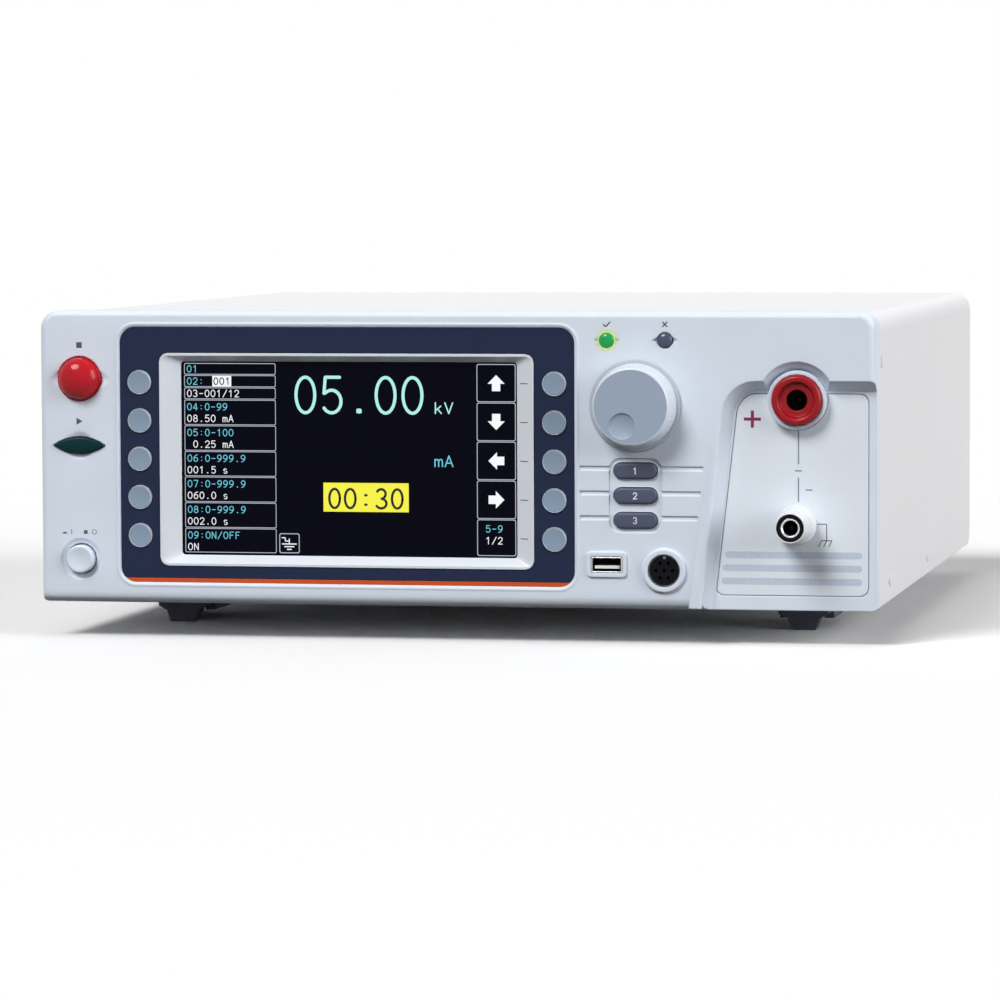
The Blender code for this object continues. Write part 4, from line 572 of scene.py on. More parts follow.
# signs as pen strokes in a cell that is 1 wide and 1.5 high
capHeight = 1.5
signs = {
    "0": (bow(0.5, 0.75, 0.42, 0.75, 0, 360, 28),),
    "1": ([(0.22, 1.16), (0.55, 1.5), (0.55, 0)],),
    "2": (bow(0.5, 1.06, 0.4, 0.44, 172, -28) + [(0.1, 0), (0.92, 0)],),
    "3": (bow(0.47, 1.13, 0.36, 0.37, 150, -80), bow(0.47, 0.38, 0.42, 0.38, 85, -150)),
    "4": ([(0.68, 0), (0.68, 1.5), (0.06, 0.42), (0.95, 0.42)],),
    "5": ([(0.84, 1.5), (0.2, 1.5), (0.14, 0.82)] + bow(0.48, 0.48, 0.42, 0.48, 130, -145),),
    "6": (bow(0.5, 0.46, 0.4, 0.46, 0, 360, 24), bow(0.86, 0.5, 0.76, 1.0, 92, 180)),
    "7": ([(0.08, 1.5), (0.92, 1.5), (0.4, 0)],),
    "8": (bow(0.5, 1.13, 0.33, 0.37, 0, 360, 24), bow(0.5, 0.38, 0.4, 0.38, 0, 360, 24)),
    "9": (bow(0.5, 1.04, 0.4, 0.46, 0, 360, 24), bow(0.14, 1.0, 0.76, 1.0, -88, 0)),
    ".": ([(0.45, 0.05), (0.56, 0.05)], [(0.45, 0.12), (0.56, 0.12)]),
    ":": ([(0.45, 0.28), (0.55, 0.28)], [(0.45, 1.02), (0.55, 1.02)]),
    "-": ([(0.16, 0.72), (0.84, 0.72)],),
    "/": ([(0.1, -0.08), (0.9, 1.55)],),
    "k": ([(0.14, 0), (0.14, 1.5)], [(0.78, 1.02), (0.16, 0.42)], [(0.4, 0.62), (0.84, 0)]),
    "V": ([(0.04, 1.5), (0.5, 0), (0.96, 1.5)],),
    "m": (
        [(0.06, 0), (0.06, 1.0)],
        [(0.06, 0.76), (0.2, 0.98), (0.4, 0.98), (0.5, 0.76), (0.5, 0)],
        [(0.5, 0.76), (0.64, 0.98), (0.84, 0.98), (0.94, 0.76), (0.94, 0)],
    ),
    "A": ([(0.04, 0), (0.5, 1.5), (0.96, 0)], [(0.22, 0.5), (0.78, 0.5)]),
    "s": (bow(0.48, 0.76, 0.32, 0.24, 40, 250, 10), bow(0.5, 0.25, 0.34, 0.25, 70, -140, 10)),
    "O": (bow(0.5, 0.75, 0.44, 0.75, 0, 360, 24),),
    "N": ([(0.1, 0), (0.1, 1.5), (0.9, 0), (0.9, 1.5)],),
    "F": ([(0.14, 0), (0.14, 1.5), (0.88, 1.5)], [(0.14, 0.8), (0.74, 0.8)]),
}


class Ink:
    # flat shapes on a plane that faces the front, joined into one mesh
    def __init__(self, y):
        self.bm = bmesh.new()
        self.y = y
        self.layer = 0

    def polygon(self, outline):
        # strokes that cross lie a hair apart, so that neither shades the other
        self.layer = (self.layer + 1) % 7
        y = self.y - self.layer * 0.0015
        self.bm.faces.new([self.bm.verts.new(point) for point in atDepth(outline, y)])

    def box(self, left, right, low, high):
        self.polygon([(left, low), (right, low), (right, high), (left, high)])

    def band(self, outer, inner):
        stack(self.bm, [atDepth(outer, self.y), atDepth(inner, self.y)])

    def border(self, left, right, low, high, width, radius):
        outer = roundedBox(left, right, low, high, radius, 4)
        inner = roundedBox(left + width, right - width, low + width, high - width, radius - width / 2, 4)
        self.band(outer, inner)

    def line(self, start, end, width):
        start, end = Vector(start), Vector(end)
        along = end - start
        side = Vector((-along.y, along.x)).normalized() * width / 2
        self.polygon([tuple(corner) for corner in (start + side, start - side, end - side, end + side)])

    def path(self, points, width, x=0, z=0):
        # points may be counted from a place of their own
        points = [(x + px, z + pz) for px, pz in points]
        for start, end in zip(points, points[1:]):
            self.line(start, end, width)

    def figures(self, text, x, z, height, pitch, wide=0.8, stroke=0.18):
        # each sign stands in a cell of its own, drawn with a pen of one width
        scale = height / capHeight
        pen = stroke * scale
        for index, sign in enumerate(text):
            left = x + pitch * (index + 0.5) - 0.5 * wide * pitch
            for line in signs.get(sign, ()):
                points = [(left + px * wide * pitch, z + pz * scale) for px, pz in line]
                self.path(points, pen)
                for spot in points:
                    self.polygon(circle(*spot, pen / 2, 8))

    def finish(self, name, finish, body="case"):
        addPiece(name, self.bm, finish, body)


# the CAD nodes that stay: smooth where they are round, each with its finish

nodeGroups = {
    "bezelWhite": ["front_bezel"],
    "plateWhite": ["terminal_plate"],
    "terminalWhite": ["return_terminal", "usb_port_tongue"],
    "coverWhite": ["top_cover"],
    "fasciaNavy": ["display_fascia"],
    "trimOrange": ["orange_trim_strip"],
    "frameSilver": ["screen_frame"],
    "screenGlass": ["display_window"],
    "knobBlue": ["control_knob"],
    "stopRed": ["stop_button"],
    "startGreen": ["start_button"],
    "powerPale": ["power_button"],
    "lampGreen": ["pass_lamp"],
    "lampDark": ["fail_lamp"],
    "socketRed": ["hv_socket"],
    "windingTape": ["hv_transformer"],
    "boardGreen": ["key_board", "main_board", "power_supply"],
    "zincSheet": ["lcd_module", "bottom_chassis", "front_subpanel", "rear_panel"],
    "brass": ["ground_terminal", "hv_socket_contact"],
    "nickel": [
        "encoder_shaft", "fan_guard", "signal_connector", "network_socket", "return_contact",
        "usb_port_shell",
    ],
    "blackPlastic": [
        "power_switch", "encoder", "hv_socket_nut", "fan_frame", "fan_rotor", "ac_inlet", "fuse_drawer",
        "return_insulator", "remote_socket",
    ],
    "footDark": [
        "front_foot_left", "front_foot_right", "rear_foot_left", "rear_foot_right", "tilt_leg_left",
        "tilt_leg_right",
    ],
    "keyGrey": [name for name in nodes if name.startswith("soft_key")],
    "modeSlate": [name for name in nodes if name.startswith("mode_button")],
}


def dressNode(name, finish, sharp=32):
    obj = nodes[name]
    mesh = obj.data
    mesh.materials.clear()
    mesh.materials.append(finishes[finish])
    if "custom_normal" in mesh.attributes:
        mesh.attributes.remove(mesh.attributes["custom_normal"])
    mesh.shade_smooth()
    weld = obj.modifiers.new("weld", "WELD")
    weld.merge_threshold = 0.002 * mm
    split = obj.modifiers.new("split", "EDGE_SPLIT")
    split.split_angle = math.radians(sharp)
    weighted = obj.modifiers.new("weighted", "WEIGHTED_NORMAL")
    weighted.weight = 80


for finish, group in nodeGroups.items():
    for name in group:
        dressNode(name, finish)
print("nodes dressed:", sum(len(group) for group in nodeGroups.values()))


# raised parts of the front, finer than their solids

flange = 1.0
flangeSlope = 0.4
# dome: how far in from the radius it ends, its depth there and its steps
# dish: how far in its rim is, the rim's depth, the hollow's depth and its steps
# edge: how far in from the radius and how far behind the front each point lies
softKey = {
    "dish": (0.62, 0.02, 0.22, 10),
    "edge": ((0.58, 0.1), (0.54, 0.52), (0.34, 0.52), (0.31, 0.14), (0.12, 0.08), (0, 0.32)),
    "seat": 2.5,
    "stem": 2.2,
    "steps": 64,
}
stopButton = {
    "dome": (0.75, 5.15, 22),
    "edge": ((0.7, 5.42), (0.53, 5.5), (0.25, 5.42), (0.06, 5.56), (0, 5.85)),
    "seat": 10.4,
    "stem": 3,
    "steps": 128,
}
startButton = {
    "margin": (1.4, 1.0),
    "rise": 3.7,
    # share of the outline, and depth
    "face": (
        (0.04, 0), (0.25, 0.02), (0.5, 0.07), (0.72, 0.16), (0.87, 0.3), (0.945, 0.42), (0.982, 0.62),
        (1, 0.95),
    ),
    "seat": 5.1,
}
powerButton = {
    "dish": (1.7, 0.05, 0.55, 12),
    "edge": ((1.2, 0), (0.75, 0.2), (0.48, 0.55), (0.4, 1.1), (0.4, 6.5)),
    "seat": 6.9,
    "stem": 2.5,
    "steps": 96,
}
lampDome = {
    "dome": (0, 1.5, 14),
    "edge": (),
    "seat": 5.2,
    "stem": 2.5,
    "steps": 56,
}


def backOfKey(place, radius, look):
    # the flange and stem that the solid has too, hidden behind the front
    seat = place.front + look["seat"]
    stem = look["stem"]
    return [
        (radius, seat), (radius + flange, seat), (radius + flange, seat + flange),
        (stem, seat + flange + flangeSlope), (stem, place.back), (0, place.back),
    ]


def keyFace(place, radius, look):
    if "dome" in look:
        inset, depth, steps = look["dome"]
        return bow(0, place.front + depth, radius - inset, -depth, 90, 0, steps)
    inset, rim, depth, steps = look["dish"]
    return dish(radius - inset, place.front + rim, depth, steps)


def keyEdge(place, radius, look):
    return inward(radius, place.front, look["edge"]) + backOfKey(place, radius, look)


def makeSoftKey(name):
    place = Place(name)
    radius = place.half - flange
    face = keyFace(place, radius, softKey)
    addLathe(name + "_cap", place.centre, face, softKey["steps"], "keyGrey", name, [name])
    edge = [face[-1]] + keyEdge(place, radius, softKey)
    addLathe(name + "_rim", place.centre, edge, softKey["steps"], "keyRim", name)


def makeRoundKey(piece, node, look, finish, body):
    place = Place(node)
    radius = place.half - flange
    profile = keyFace(place, radius, look) + keyEdge(place, radius, look)
    addLathe(piece, place.centre, profile, look["steps"], finish, body, [node])


def makeStartButton():
    place = Place("start_button")
    wider, taller = startButton["margin"]
    half = place.half - wider
    rise = startButton["rise"]
    seat = startButton["seat"]

    def outline(wide, tall):
        return lens(*place.centre, wide, tall)

    rows = [(half * share, rise * share, depth) for share, depth in startButton["face"]]
    rows.append((half, rise, seat))
    rows += [(half + wider, rise + taller, depth) for depth in (seat, seat + flange)]
    sections = levels(place.front, rows, outline)
    addStack("start_lens", sections, "startGreen", "start_button", ["start_button"], True, True)


def makeHalo():
    place = Place("pass_lamp")
    y = place.front + halo["depth"]
    ring = [(place.half - flange + halo["gap"], y), (halo["end"], y)]
    addLathe("pass_lamp_halo", place.centre, ring, halo["steps"], "lampHalo")


for side in ("left", "right"):
    for number in range(1, 6):
        makeSoftKey(f"soft_key_{side}_{number}")
print("soft keys")
makeRoundKey("stop_dome", "stop_button", stopButton, "stopRed", "stop_button")
makeStartButton()
makeRoundKey("power_cap", "power_button", powerButton, "powerPale", "power_button")
makeRoundKey("pass_lamp_dome", "pass_lamp", lampDome, "lampGreen", "case")
makeHalo()
makeRoundKey("fail_lamp_dome", "fail_lamp", lampDome, "lampDark", "case")
print("buttons and lamps")

lip = {
    "radius": 7.0,
    # how far out from the fascia's edge, and how deep behind the bezel's face
    "profile": (
        (0.02, 0.45), (0.45, 0.15), (0.95, -0.2), (1.15, -0.28), (1.4, -0.28), (1.8, -0.17), (2.4, 0.02),
    ),
    "steps": 14,
}
# the bezel's flat face lies this far behind its foremost point
bezelRise = 1.6


def makeFasciaLip():
    # the moulded edge of the pocket slopes in to the fascia and catches the light along its foot
    fascia = Place("display_fascia")
    foot = Place("orange_trim_strip").low.z
    face = Place("front_bezel").front + bezelRise

    def outline(grow):
        sides = (fascia.low.x - grow, fascia.high.x + grow, foot - grow, fascia.high.z + grow)
        return roundedBox(*sides, lip["radius"] + grow, lip["steps"])

    addStack("fascia_lip", levels(face, lip["profile"], outline), "bezelWhite")


knob = {
    "face": 16.3,
    "faceSteps": 176,
    "flutes": 22,
    "fluteDepth": 0.22,
    "sideSteps": 352,
    # radius, depth behind the front and share of the flutes
    "side": (
        (16.3, 0, 0), (16.8, 0.1, 0), (17.05, 0.35, 0), (17.15, 0.8, 0), (17.4, 2.6, 0.3),
        (17.75, 5.2, 1), (18.15, 8.2, 1), (18.5, 9.9, 0.6), (18.6, 10.5, 0),
    ),
    "sideEnd": (18.75, -1.6, 0),
    # radius, and depth from the back
    "skirt": ((18.3, -1.55), (19.5, -1.5), (20.1, -1.35), (20.4, -0.9), (20.4, 0), (4.9, 0), (4.9, -3.5)),
    "skirtSteps": 128,
    # the round hollow for a finger
    "dimpleReach": 9.4,
    "dimpleAngle": 246,
    "dimpleRim": ((5.9, 0), (5.75, 0.1), (5.55, 0.6)),
    "dimpleDepth": 1.5,
    "dimpleSteps": 72,
}


def fluted(centre, radius, y, depth):
    # a ring with shallow hollows for the fingers
    points = []
    for step in range(knob["sideSteps"]):
        angle = 2 * math.pi * step / knob["sideSteps"]
        reach = radius - depth * max(0, math.cos(angle * knob["flutes"])) ** 8
        points.append((centre[0] + reach * math.cos(angle), y, centre[1] + reach * math.sin(angle)))
    return points


def makeKnob():
    place = Place("control_knob")
    front, back = place.front, place.back
    angle = math.radians(knob["dimpleAngle"])
    reach = knob["dimpleReach"]
    hollow = (place.x + reach * math.cos(angle), place.z + reach * math.sin(angle))
    radius, depth = knob["dimpleRim"][-1]
    floor = dish(radius, depth, knob["dimpleDepth"] - depth)[-2::-1]
    bm = bmesh.new()
    rings = lathe(bm, hollow, behind(front, list(knob["dimpleRim"]) + floor), knob["dimpleSteps"])
    fillFace(bm, circle(*place.centre, knob["face"], knob["faceSteps"]), front, rings[:1], -1)
    addPiece("knob_face", bm, "knobBlue", "knob", sharp=30)
    rows = [(radius, front + depth, share) for radius, depth, share in knob["side"]]
    radius, depth, share = knob["sideEnd"]
    rows.append((radius, back + depth, share))
    sections = [fluted(place.centre, radius, y, share * knob["fluteDepth"]) for radius, y, share in rows]
    addStack("knob_side", sections, "knobSide", "knob", ["control_knob"])
    addLathe("knob_skirt", place.centre, behind(back, knob["skirt"]), knob["skirtSteps"], "knobSkirt", "knob")


modeButton = {
    "wide": 19.6,
    "tall": 7,
    # how far in from the outline, and depth
    "cap": ((1.5, 0), (0.95, 0.04), (0.5, 0.16), (0.18, 0.4), (0.02, 0.8), (0, 5.2), (-1, 5.2), (-1, 6.2)),
    # a pale bead round the button, in the pocket of the bezel
    "bead": ((-0.22, 2.17), (-0.26, 1.8), (-0.45, 1.72), (-0.66, 1.82), (-0.7, 1.97)),
    "figure": {"height": 2.7, "pitch": 2.7, "wide": 0.7, "stroke": 0.25},
    "figureOffset": (-1.3, -1.35),
}
# printed marks stand out from their ground by this much
inkRise = 0.012


def makeModeButton(number):
    node = f"mode_button_{number}"
    place = Place(node)
    size = (modeButton["wide"], modeButton["tall"])

    def outline(inset):
        return capsule(*place.centre, *size, -inset)

    cap, bead = (levels(place.front, modeButton[part], outline) for part in ("cap", "bead"))
    addStack(node + "_cap", cap, "modeSlate", node, [node], True, True)
    right, up = modeButton["figureOffset"]
    ink = Ink(place.front - inkRise)
    ink.figures(str(number), place.x + right, place.z + up, **modeButton["figure"])
    ink.finish(node + "_figure", "inkWhite", node)
    addStack(node + "_bead", bead, "terminalWhite")


makeFasciaLip()
makeKnob()
for number in (1, 2, 3):
    makeModeButton(number)
print("knob and mode buttons")


# sockets and terminals: rows are radius, depth behind the front and, at corners, a fillet

highVoltage = {
    "collar": ((4.6, 3.2, 0), (4.65, 2.35, 0.3), (7.2, 2.3, 0.3), (8.1, 0.35, 0.5), (8.9, 0.02, 0.5)),
    "pit": ((4.6, 3.2), (4.55, 4.4), (4.5, 15), (0, 15)),
    "contact": ((0, 0), (1.2, 0), (1.6, 0.15), (2, 0.6)),
    "contactRadius": 2,
}


def makeHighVoltageSocket():
    place = Place("hv_socket")
    radius = place.half
    deep = place.back - place.front
    rows = highVoltage["collar"] + ((radius - 0.9, 0, 0.5), (radius, 0.9, 0.6), (radius, deep, 0))
    collar = behind(place.front, softened(rows, 5) + [(0, deep)])
    addLathe("hv_collar", place.centre, collar, 128, "socketRed", "case", ["hv_socket"])
    # the hole's inside is painted near black as its shade
    addLathe("hv_pit", place.centre, behind(place.front, highVoltage["pit"]), 72, "socketPitShade")
    contact = Place("hv_socket_contact")
    pin = behind(contact.front, highVoltage["contact"]) + [(highVoltage["contactRadius"], contact.back)]
    # the contact at the hole's bottom is painted near black as shade
    addLathe("hv_contact", place.centre, pin, 40, "metalInPaintedShade", "case", ["hv_socket_contact"])


returnTerminal = {
    "mouth": ((6.1, 1.2, 0), (6.1, 0, 0.25), (6.6, 0, 0.3), (6.85, 2.2, 0.8)),
    # how far in from the foot's radius, depth from the back, and fillet
    "foot": ((0.75, -9.5, 3), (0.1, -4, 2.5), (0, -0.8, 0.3), (0.4, 0, 0)),
    "bore": 4.3,
    "sleeve": ((4.6, 2.2, 0), (4.6, 0.2, 0.25), (5.0, 0, 0.2), (5.8, 0, 0.25), (5.95, 0.5, 0.2)),
    "sleeveRadius": 5.95,
    "ring": ((3.35, 1.6, 0), (3.4, 0.35, 0.2), (3.75, 0, 0.2), (4.15, 0, 0.2), (4.3, 0.3, 0.2), (4.3, 18, 0)),
    "pit": ((3.33, 1.1), (3.3, 2), (3.3, 13.5), (0, 13.5)),
    "pin": ((0, 3.4), (0.8, 3.5), (1.3, 4), (1.5, 5), (1.5, 13.4)),
}


def makeReturnTerminal():
    look = returnTerminal
    place = Place("return_terminal")
    centre = place.centre
    deep = place.back - place.front
    rows = list(look["mouth"])
    rows += [(place.half - inset, deep + depth, fillet) for inset, depth, fillet in look["foot"]]
    collar = behind(place.front, softened(rows, 6) + [(look["bore"], deep)])
    addLathe("return_collar", centre, collar, 112, "terminalWhite", "case", ["return_terminal"])
    sleeve = Place("return_insulator")
    rows = look["sleeve"] + ((look["sleeveRadius"], sleeve.back - sleeve.front, 0),)
    profile = behind(sleeve.front, softened(rows))
    addLathe("return_sleeve", centre, profile, 96, "blackAndPitShade", "case", ["return_insulator"])
    front = Place("return_contact").front
    addLathe("return_ring", centre, behind(front, softened(look["ring"])), 96, "nickel")
    # the bore's inside is painted near black for its shade
    addLathe("return_pit", centre, behind(front, look["pit"]), 64, "blackAndPitShade")
    # the pin at the bore's bottom is painted near black as shade
    addLathe("return_inner_pin", centre, behind(front, look["pin"]), 32, "metalInPaintedShade")


roundSocket = {
    "insert": 6.65,
    "holeRadius": 0.82,
    "holeReach": 3.7,
    "holeDepth": 3,
    # half the notch's width, and its height over the middle
    "notch": (0.82, 4.9),
    "shell": ((6.55, 2), (6.6, -0.1), (6.78, -0.28), (6.98, -0.1), (7, 3.8), (8, 3.9)),
    "shellRadius": 8,
    "keyHeight": 5.9,
    "keyHalf": 0.6,
    "keyDepths": (3, 0.5),
}


def makeRoundSocket():
    look = roundSocket
    place = Place("remote_socket")
    x, z = place.centre
    front = place.front
    half, top = look["notch"]
    outline = arc(x, z, look["insert"], 97, 443, 90) + [(x + half, z + top), (x - half, z + top)]
    holes = [(x, z)] + arc(x, z, look["holeReach"], 120, 480, 6)[:-1]
    bm = bmesh.new()
    pierced(bm, outline, holes, look["holeRadius"], front, look["holeDepth"])
    addPiece("round_insert", bm, "blackAndPitShade", "case", ["remote_socket"], sharp=30)
    shell = behind(front, look["shell"]) + [(look["shellRadius"], place.back), (0, place.back)]
    addLathe("round_shell", place.centre, shell, 96, "dullMetal")
    key = roundedBar(x, z + look["keyHeight"], look["keyHalf"], look["keyHalf"], 0.3, 5)
    sections = [atDepth(key, front + depth) for depth in look["keyDepths"]]
    addStack("round_keyway", sections, "knobSide", closeEnd=True)


port = {
    # how far in from the shell's outside, and depth
    "pit": ((0.43, 0.5), (0.46, 11)),
    "pitRadius": 0.4,
    "wall": 0.4,
    "tongueFoot": 0.6,
    "tongueStart": 0.2,
    "contactEnds": (0.6, 7),
    "contactPitch": 2.2,
    "contactHalf": 0.5,
    "contactRise": 0.12,
    "springOffset": 3.1,
    "springHalves": (1.1, 0.9),
    # how far a spring stands in, and depth
    "spring": ((0.2, 0.9), (0.5, 2.6), (0.2, 5)),
}


def makePort():
    shell = Place("usb_port_shell")
    tongue = Place("usb_port_tongue")

    def hollow(inset):
        sides = (shell.low.x + inset, shell.high.x - inset, shell.low.z + inset, shell.high.z - inset)
        return roundedBox(*sides, port["pitRadius"])

    # the port's hollow is painted near black for its shade
    addStack("port_pit", levels(shell.front, port["pit"], hollow), "blackAndPitShade", closeEnd=True)
    foot = tongue.low.z + port["tongueFoot"]
    blade = roundedBox(tongue.low.x, tongue.high.x, foot, tongue.high.z, 0.15, 3)
    sections = [atDepth(blade, y) for y in (tongue.front + port["tongueStart"], tongue.back)]
    addStack("port_tongue", sections, "terminalWhite", "case", ["usb_port_tongue"], True, True)
    # four contacts on the tongue and two springs of the shell
    bm = bmesh.new()
    half = port["contactHalf"]
    low = tongue.high.z
    high = low + port["contactRise"]
    for index in range(4):
        x = tongue.x + (index - 1.5) * port["contactPitch"]
        strip = [(x - half, low), (x + half, low), (x + half, high), (x - half, high)]
        stack(bm, [atDepth(strip, tongue.front + depth) for depth in port["contactEnds"]], True, True)
    addPiece("port_contacts", bm, "brass")
    bm = bmesh.new()
    top = shell.high.z - port["wall"]
    wide, narrow = port["springHalves"]

    def spring(sag):
        return [(x - wide, top), (x + wide, top), (x + narrow, top - sag), (x - narrow, top - sag)]

    for x in (shell.x - port["springOffset"], shell.x + port["springOffset"]):
        stack(bm, levels(shell.front, port["spring"], spring), True, True)
    addPiece("port_springs", bm, "nickel")


makeHighVoltageSocket()
makeReturnTerminal()
makeRoundSocket()
makePort()
print("sockets and terminals")


# rear side

guard = {
    "reach": 25,
    "wire": 1,
    "rings": (8.5, 18, 27.5),
    "spoke": 0.8,
    "spokeStart": 2.2,
    "eye": ((0, 0.6, 0), (3.2, 0.6, 0.3), (3.2, -2.2, 0)),
}
corners = [(across, up) for across in (-1, 1) for up in (-1, 1)]


def rod(bm, start, end, radius, steps=14):
    along = (end - start).normalized()
    side = along.cross(Vector((0, 1, 0))).normalized()
    up = side.cross(along)
    ends = [[point + side * px + up * pz for px, pz in circle(0, 0, radius, steps)] for point in (start, end)]
    stack(bm, ends, True, True)


def makeGuard():
    place = Place("fan_guard")
    wire = guard["wire"]
    plane = place.back - wire
    bm = bmesh.new()
    for radius in guard["rings"]:
        lathe(bm, place.centre, bow(radius, plane, -wire, -wire, 0, 360), 96)
    for across, up in corners:
        inner, eye = (
            Vector((place.x + across * reach, plane, place.z + up * reach))
            for reach in (guard["spokeStart"], guard["reach"])
        )
        rod(bm, inner, eye, guard["spoke"])
        lathe(bm, (eye.x, eye.z), behind(plane, softened(guard["eye"])), 32)
    addPiece("guard_wires", bm, "nickel", "case", ["fan_guard"])


screw = {
    "radius": 2.9,
    "rise": 1.5,
    "cross": 0.42,
    "crossDepth": 0.9,
    "crossReach": 0.58,
    "shares": (0, 0.06, 0.12, 0.18, 0.25, 0.32, 0.4, 0.48, 0.55, 0.62, 0.7, 0.8, 0.9, 0.96, 1),
    "panelPlaces": ((-172, 138), (0, 138), (172, 138), (-172, 24), (60, 24), (172, 100)),
    "guardSink": 0.4,
}


def makeCrossScrew(name, x, y, z):
    # pan head with a cross that sinks into it; it looks to the rear
    radius, rise, cross, shares = (screw[key] for key in ("radius", "rise", "cross", "shares"))
    bm = bmesh.new()
    rings = lathe(bm, (x, z), [(radius * share, y) for share in shares] + [(radius, y - rise * 0.4)], 64)
    for share, ring in zip(shares, rings):
        bulge = rise * (0.62 + 0.38 * math.sqrt(max(0, 1 - share ** 4))) * (0.45 if share > 0.98 else 1)
        tip = max(0, min(1, (screw["crossReach"] - share) / 0.12))
        for vert in ring:
            across = min(abs(vert.co.x - x), abs(vert.co.z - z))
            side = max(0, min(1, (cross - across) / (0.3 * cross) + 0.5))
            vert.co.y = y + bulge - screw["crossDepth"] * side * tip
    addPiece(name, bm, "nickel", sharp=50)


def makeRearScrews():
    panel = Place("rear_panel")
    for number, (x, z) in enumerate(screw["panelPlaces"], 1):
        makeCrossScrew(f"rear_screw_{number}", x, panel.back, z)
    place = Place("fan_guard")
    reach = guard["reach"]
    for number, (across, up) in enumerate(corners, 1):
        y = place.back - screw["guardSink"]
        makeCrossScrew(f"guard_screw_{number}", place.x + across * reach, y, place.z + up * reach)


signal = {
    # how far the insert stays in from the solid's sides
    "margins": (9.25, 3.35),
    "slant": 1.2,
    "fillet": 1.3,
    "pitch": 2.6,
    "rows": ((13, 1.42), (12, -1.42)),
    "holeRadius": 0.6,
    "sink": 0.35,
    "depth": 0.6,
    "postInset": 3.6,
    "postBore": 1.35,
}


def makeSignalSocket():
    place = Place("signal_connector")
    x, z = place.centre
    half = place.half - signal["margins"][0]
    rise = (place.high.z - place.low.z) / 2 - signal["margins"][1]
    foot = half - signal["slant"]
    fillet = signal["fillet"]
    outline = softened([
        (x, z - rise, 0), (x + foot, z - rise, fillet), (x + half, z + rise, fillet),
        (x - half, z + rise, fillet), (x - foot, z - rise, fillet), (x - 1, z - rise, 0),
    ], 5)
    holes = []
    for count, up in signal["rows"]:
        holes += [(x + (index - (count - 1) / 2) * signal["pitch"], z + up) for index in range(count)]
    bm = bmesh.new()
    pierced(bm, outline, holes, signal["holeRadius"], place.back - signal["sink"], -signal["depth"], 16)
    addPiece("signal_insert", bm, "blackPlastic")
    bm = bmesh.new()
    # flat discs painted near black stand for the shade inside the posts' threaded bores
    for side in (-1, 1):
        centre = (x + side * (place.half - signal["postInset"]), z)
        lathe(bm, centre, behind(place.back, ((signal["postBore"], 0.02), (0, 0.02))), 32)
    addPiece("signal_post_bore_shades", bm, "blackAndPitShade")


network = {
    # right half of the opening, from the top down
    "outline": ((5.93, 4.18), (5.93, -4.2), (2.18, -4.2), (2.18, -6.15)),
    "depths": (-0.25, -14.5),
    "wires": 8,
    "wirePitch": 1.02,
    "wireHalf": 0.25,
    # height over the middle and depth from the back, at both ends of a wire
    "wireEnds": ((3.85, -2), (0.85, -9)),
}


def makeNetworkLining():
    place = Place("network_socket")
    x, z, back = place.x, place.z, place.back
    outline = [(x - half, z + up) for half, up in network["outline"]]
    outline += [(x + half, z + up) for half, up in network["outline"][::-1]]
    lining = [atDepth(outline, back + depth) for depth in network["depths"]]
    addStack("network_lining", lining, "blackPlastic", closeEnd=True)
    bm = bmesh.new()
    half = network["wireHalf"]

    def wire(up):
        return roundedBar(wireX, z + up, half, half, 0.1, 2)

    for index in range(network["wires"]):
        wireX = x + (index - (network["wires"] - 1) / 2) * network["wirePitch"]
        stack(bm, levels(back, network["wireEnds"], wire), True, True)
    addPiece("network_contacts", bm, "brass")


inlet = {
    "pins": ((-7, 10), (0, 14), (7, 10)),
    "floor": -16,
    # half the blade's width and height, and how far it stands on the floor
    "blade": ((1.04, 2.04, 0), (1.04, 2.04, 11.05), (0.6, 1.6, 11.65)),
}


def makeInletPins():
    place = Place("ac_inlet")
    floor = place.back + inlet["floor"]
    bm = bmesh.new()

    def blade(wide, tall):
        return roundedBar(*centre, wide, tall, 0.2, 3)

    for across, up in inlet["pins"]:
        centre = (place.x + across, place.low.z + up)
        stack(bm, levels(floor, inlet["blade"], blade), closeEnd=True)
    addPiece("inlet_pins", bm, "nickel")


makeGuard()
makeRearScrews()
makeSignalSocket()
makeNetworkLining()
makeInletPins()
print("rear side")


# the screen: places across and up are shares of it, counted from its upper left corner

screen = {
    "margin": 1.3,
    "rise": 0.02,
    "darkRise": 0.01,
    "gap": 0.12,
    # left and right of the list and where its rows meet, then the pen and the corner's radius
    "list": (0.008, 0.283),
    "rows": (0.008, 0.070, 0.134, 0.197, 0.330, 0.463, 0.595, 0.728, 0.861, 0.990),
    "listPen": (0.32, 0.7),
    "names": ("04:0-99", "05:0-100", "06:0-999.9", "07:0-999.9", "08:0-999.9", "09:ON/OFF"),
    "values": ("08.50 mA", " 0.25 mA", "001.5 s", "060.0 s", "002.0 s", "ON"),
    # how far below the top of its row a name and a value stand
    "drops": (0.055, 0.115),
    # the marked field: signs to the right of the list's start, and shares down
    "field": (4.4, 7.6, 0.130, 0.0745),
    # the cells beside the right keys
    "keys": (0.880, 0.995),
    "cells": (0.008, 0.205, 0.404, 0.603, 0.802, 0.992),
    "cellPen": (0.36, 0.9),
    "arrow": ((0, 3.6), (3.9, -0.3), (1.9, -0.3), (1.9, -3.6), (-1.9, -3.6), (-1.9, -0.3), (-3.9, -0.3)),
    "arrowAngles": (0, 180, 90, -90),
    # height and pitch of the signs
    "small": (3.0, 2.75),
    "unit": (4.8, 4.7, 0.82),
    "reading": (16.0, 12.3, 0.84, 0.135),
    "count": (8.6, 7.2, 0.8, 0.2),
}


